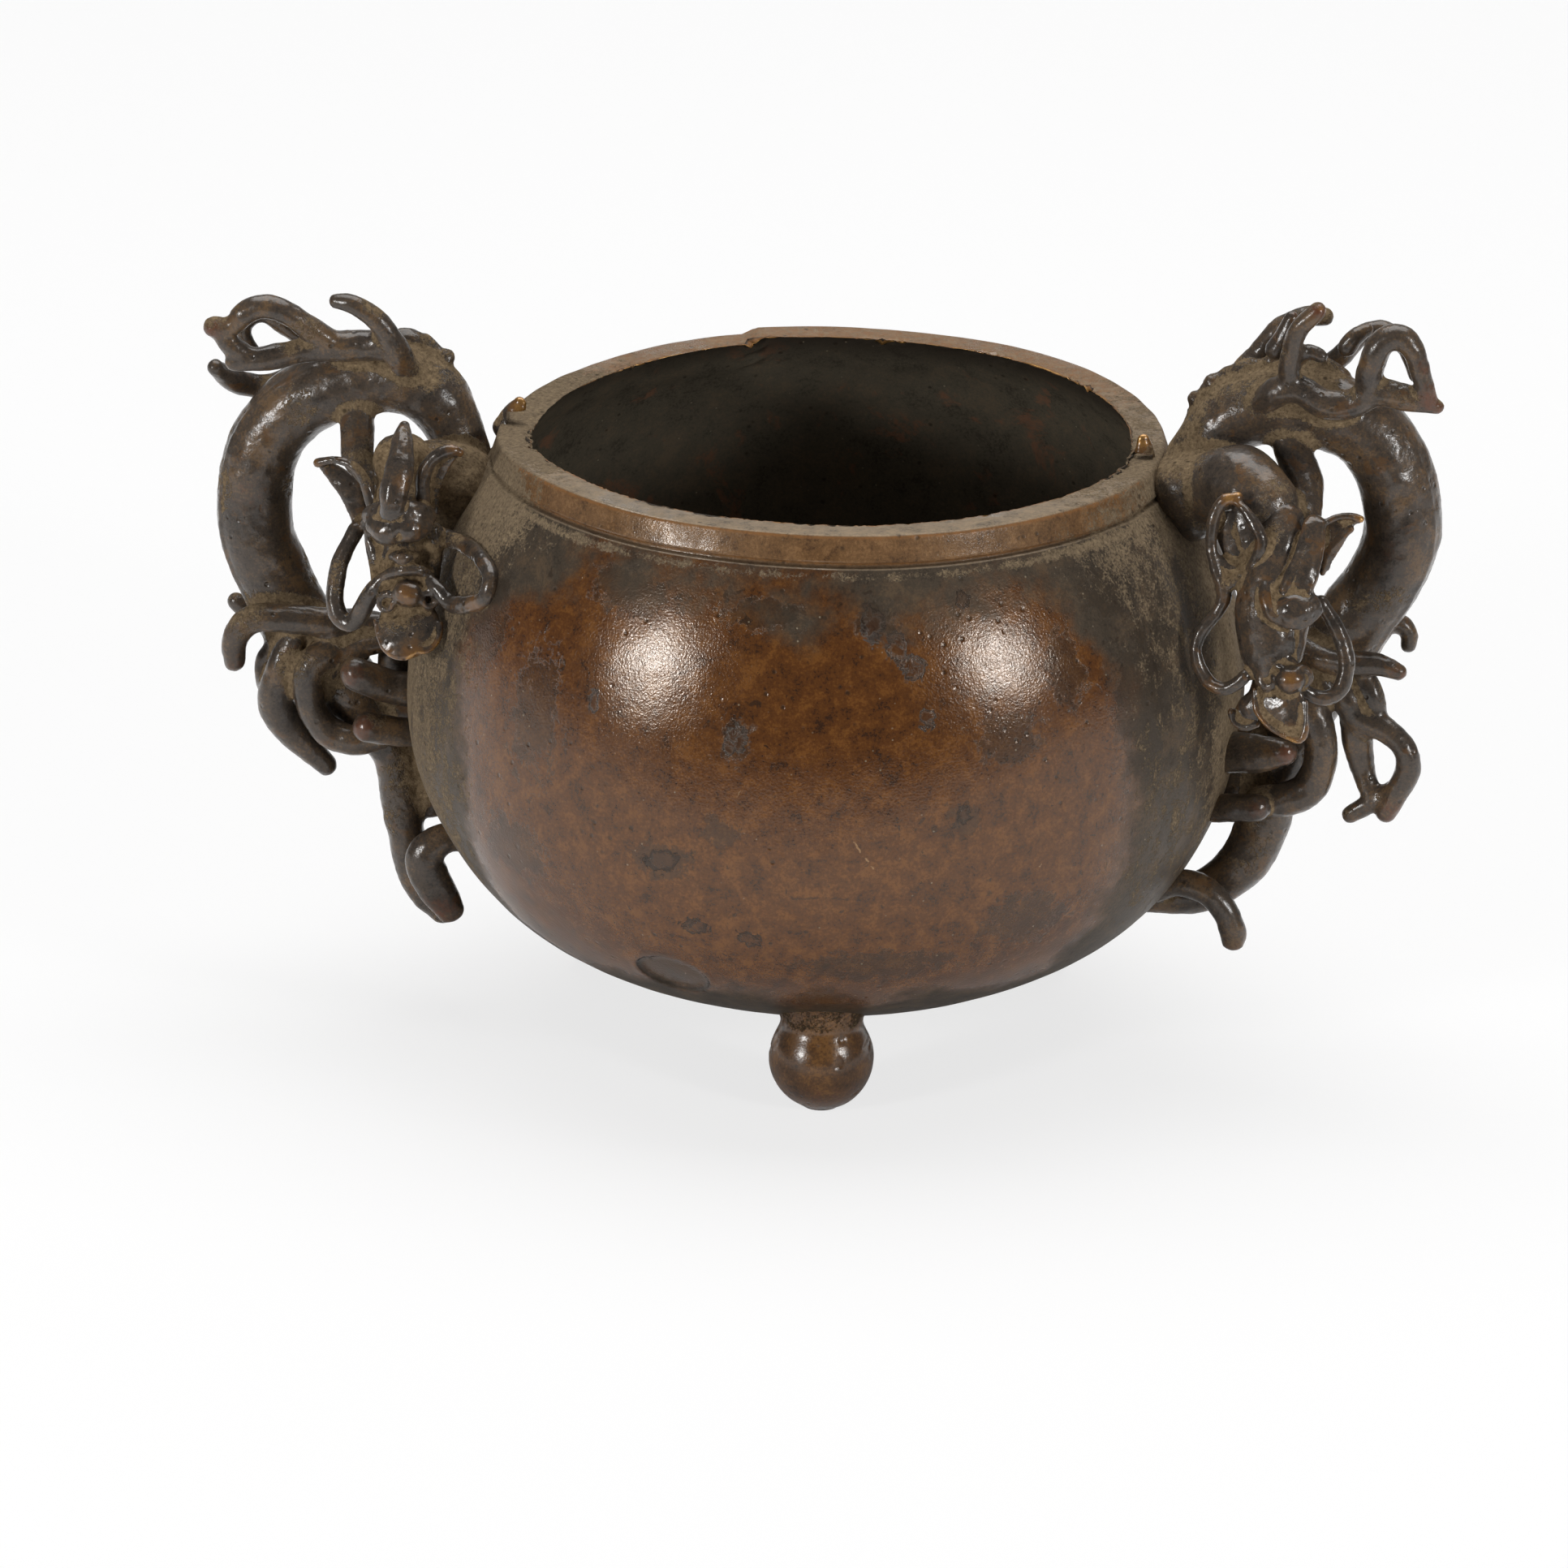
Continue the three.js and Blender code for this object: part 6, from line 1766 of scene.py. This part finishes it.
# %% [markdown]
# ## The studio
#
# The burner stands on a sheet of white paper that rises behind it. The sheet ends a short way in
# front, so the belly mirrors white paper below and the dim room above, with a soft edge between.
# Two round softboxes, brightest in their middles, stand at the left and the right and make the two
# highlights on the belly. A large soft lamp overhead lights the rim and washes out the shadows.

# %% Paper, room and lamps


# The paper in metres: its front edge, where it starts to bend, the bend, its height, half its width
PAPER_FRONT, BEND_START, BEND_RADIUS, PAPER_TOP, HALF_WIDTH = -0.41, 1.7, 0.6, 1.8, 2.6
SOFTBOX_DISTANCE = 1.25
# A softbox is discs of (width, radiance) one over another, so that it is brightest in its middle
SOFTBOX_DISCS = ((0.15, 60.0), (0.26, 11.0), (0.4, 4.0), (0.6, 1.2))


def paper_sheet():
    """A sheet whose outline runs back over the floor and up behind in a quarter circle."""
    bend = np.linspace(0, math.pi / 2, 24)
    curve = BEND_RADIUS * np.stack([np.sin(bend), 1 - np.cos(bend)], axis=1) + (BEND_START, 0)
    outline = np.vstack([[(PAPER_FRONT, 0), (1.2, 0)], curve, [(BEND_START + BEND_RADIUS, PAPER_TOP)]])
    across = np.tile([-HALF_WIDTH, HALF_WIDTH], len(outline))
    points = np.stack([across, np.repeat(outline[:, 0], 2), np.repeat(outline[:, 1], 2)], axis=1)
    first = np.arange(len(outline) - 1) * 2
    faces = np.stack([first, first + 1, first + 3, first + 2], axis=1)
    return bronze_object("paper_sheet", points, faces, scale=1)


paper = paper_sheet()
paper_white, tree, shader, place = new_material("paper_white")
shader.inputs["Base Color"].default_value = (0.93, 0.93, 0.93, 1)
shader.inputs["Roughness"].default_value = 0.9
lit_paper = add(tree, "ShaderNodeEmission", {"Color": (1, 1, 1, 1), "Strength": 1.0}).outputs[0]
seen = times(tree, add(tree, "ShaderNodeLightPath").outputs["Is Camera Ray"], 0.74)
paper_mix = add(tree, "ShaderNodeMixShader", {0: seen, 1: shader.outputs[0], 2: lit_paper}).outputs[0]
tree.links.new(paper_mix, tree.nodes["Material Output"].inputs["Surface"])
paper.data.materials.append(paper_white)

room = bpy.data.worlds.new("dim_room")
scene.world = room
room.use_nodes = True
tree = room.node_tree
tree.nodes.clear()
seen = add(tree, "ShaderNodeLightPath").outputs["Is Camera Ray"]
brightness = plus(tree, times(tree, seen, 0.88), 0.12)
background = add(tree, "ShaderNodeBackground", {"Color": (1, 1, 1, 1), "Strength": brightness})
add(tree, "ShaderNodeOutputWorld", {"Surface": background.outputs[0]})


def turned_to(axes, place):
    """The matrix that turns an object to three axes and moves it to a place."""
    rows = [[*row, at] for row, at in zip(np.stack(axes, axis=1), place)]
    return Matrix(rows + [[0, 0, 0, 1]])


def soft_lamp(name, place, target, size, power, shape="RECTANGLE"):
    """A flat lamp at a place, aimed at a target. Sizes in metres, power in watts."""
    light = bpy.data.lights.new(name, "AREA")
    light.shape = shape
    light.size, light.size_y = size
    light.energy = power
    lamp = bpy.data.objects.new(name, light)
    back = unit(np.array(place, float) - np.array(target, float))
    right = unit(np.cross([0, 0, 1.0], back)) if abs(back[2]) < 0.99 else np.array([1.0, 0, 0])
    lamp.matrix_world = turned_to([right, np.cross(back, right), back], place)
    scene.collection.objects.link(lamp)
    return lamp


def softbox(name, target, way, strength):
    """A round softbox that stands off its target along a way. A disc's power is its radiance times
    its area times pi."""
    place = np.array(target) + SOFTBOX_DISTANCE * np.array(way)
    lamps = []
    for i, (width, radiance) in enumerate(SOFTBOX_DISCS):
        power = strength * radiance * (math.pi * width / 2) ** 2
        lamps.append(soft_lamp(f"{name}_{i}", place, target, (width, width), power, "DISK"))
    return lamps


lamps = [
    *softbox("left_softbox", (-0.023, -0.074, 0.102), (-0.652, -0.728, 0.212), 1.05),
    *softbox("right_softbox", (0.040, -0.065, 0.105), (0.799, -0.536, 0.273), 0.85),
    soft_lamp("overhead_lamp", (0.0, 0.45, 1.7), (0, 0, 0), (2.0, 1.4), 29),
]
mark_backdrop(paper, *lamps)

# %% [markdown]
# ## The camera
#
# The photograph was taken through a long lens from a little over two metres, about twenty degrees
# above the floor and seven and a half degrees to the right of square.

# %% Camera
CAMERA_PLACE = (0.28305, -2.14999, 0.86811)
CAMERA_RIGHT, CAMERA_UP = (0.99002, 0.14008, 0.01559), (-0.06392, 0.34767, 0.93544)
CAMERA_BACK = (0.12562, -0.92710, 0.35315)
camera_data = bpy.data.cameras.new("long_lens")
camera_data.sensor_width = 36
camera_data.lens = 260.4
camera_data.clip_start, camera_data.clip_end = 0.1, 20
camera = bpy.data.objects.new("long_lens", camera_data)
camera.matrix_world = turned_to([CAMERA_RIGHT, CAMERA_UP, CAMERA_BACK], CAMERA_PLACE)
scene.collection.objects.link(camera)
scene.camera = camera
scene.view_settings.view_transform = "Standard"

# %% Print the castings' span and finish
low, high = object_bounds()
print("the castings span", [round(v * 1000, 1) for v in (high - low)], "mm")
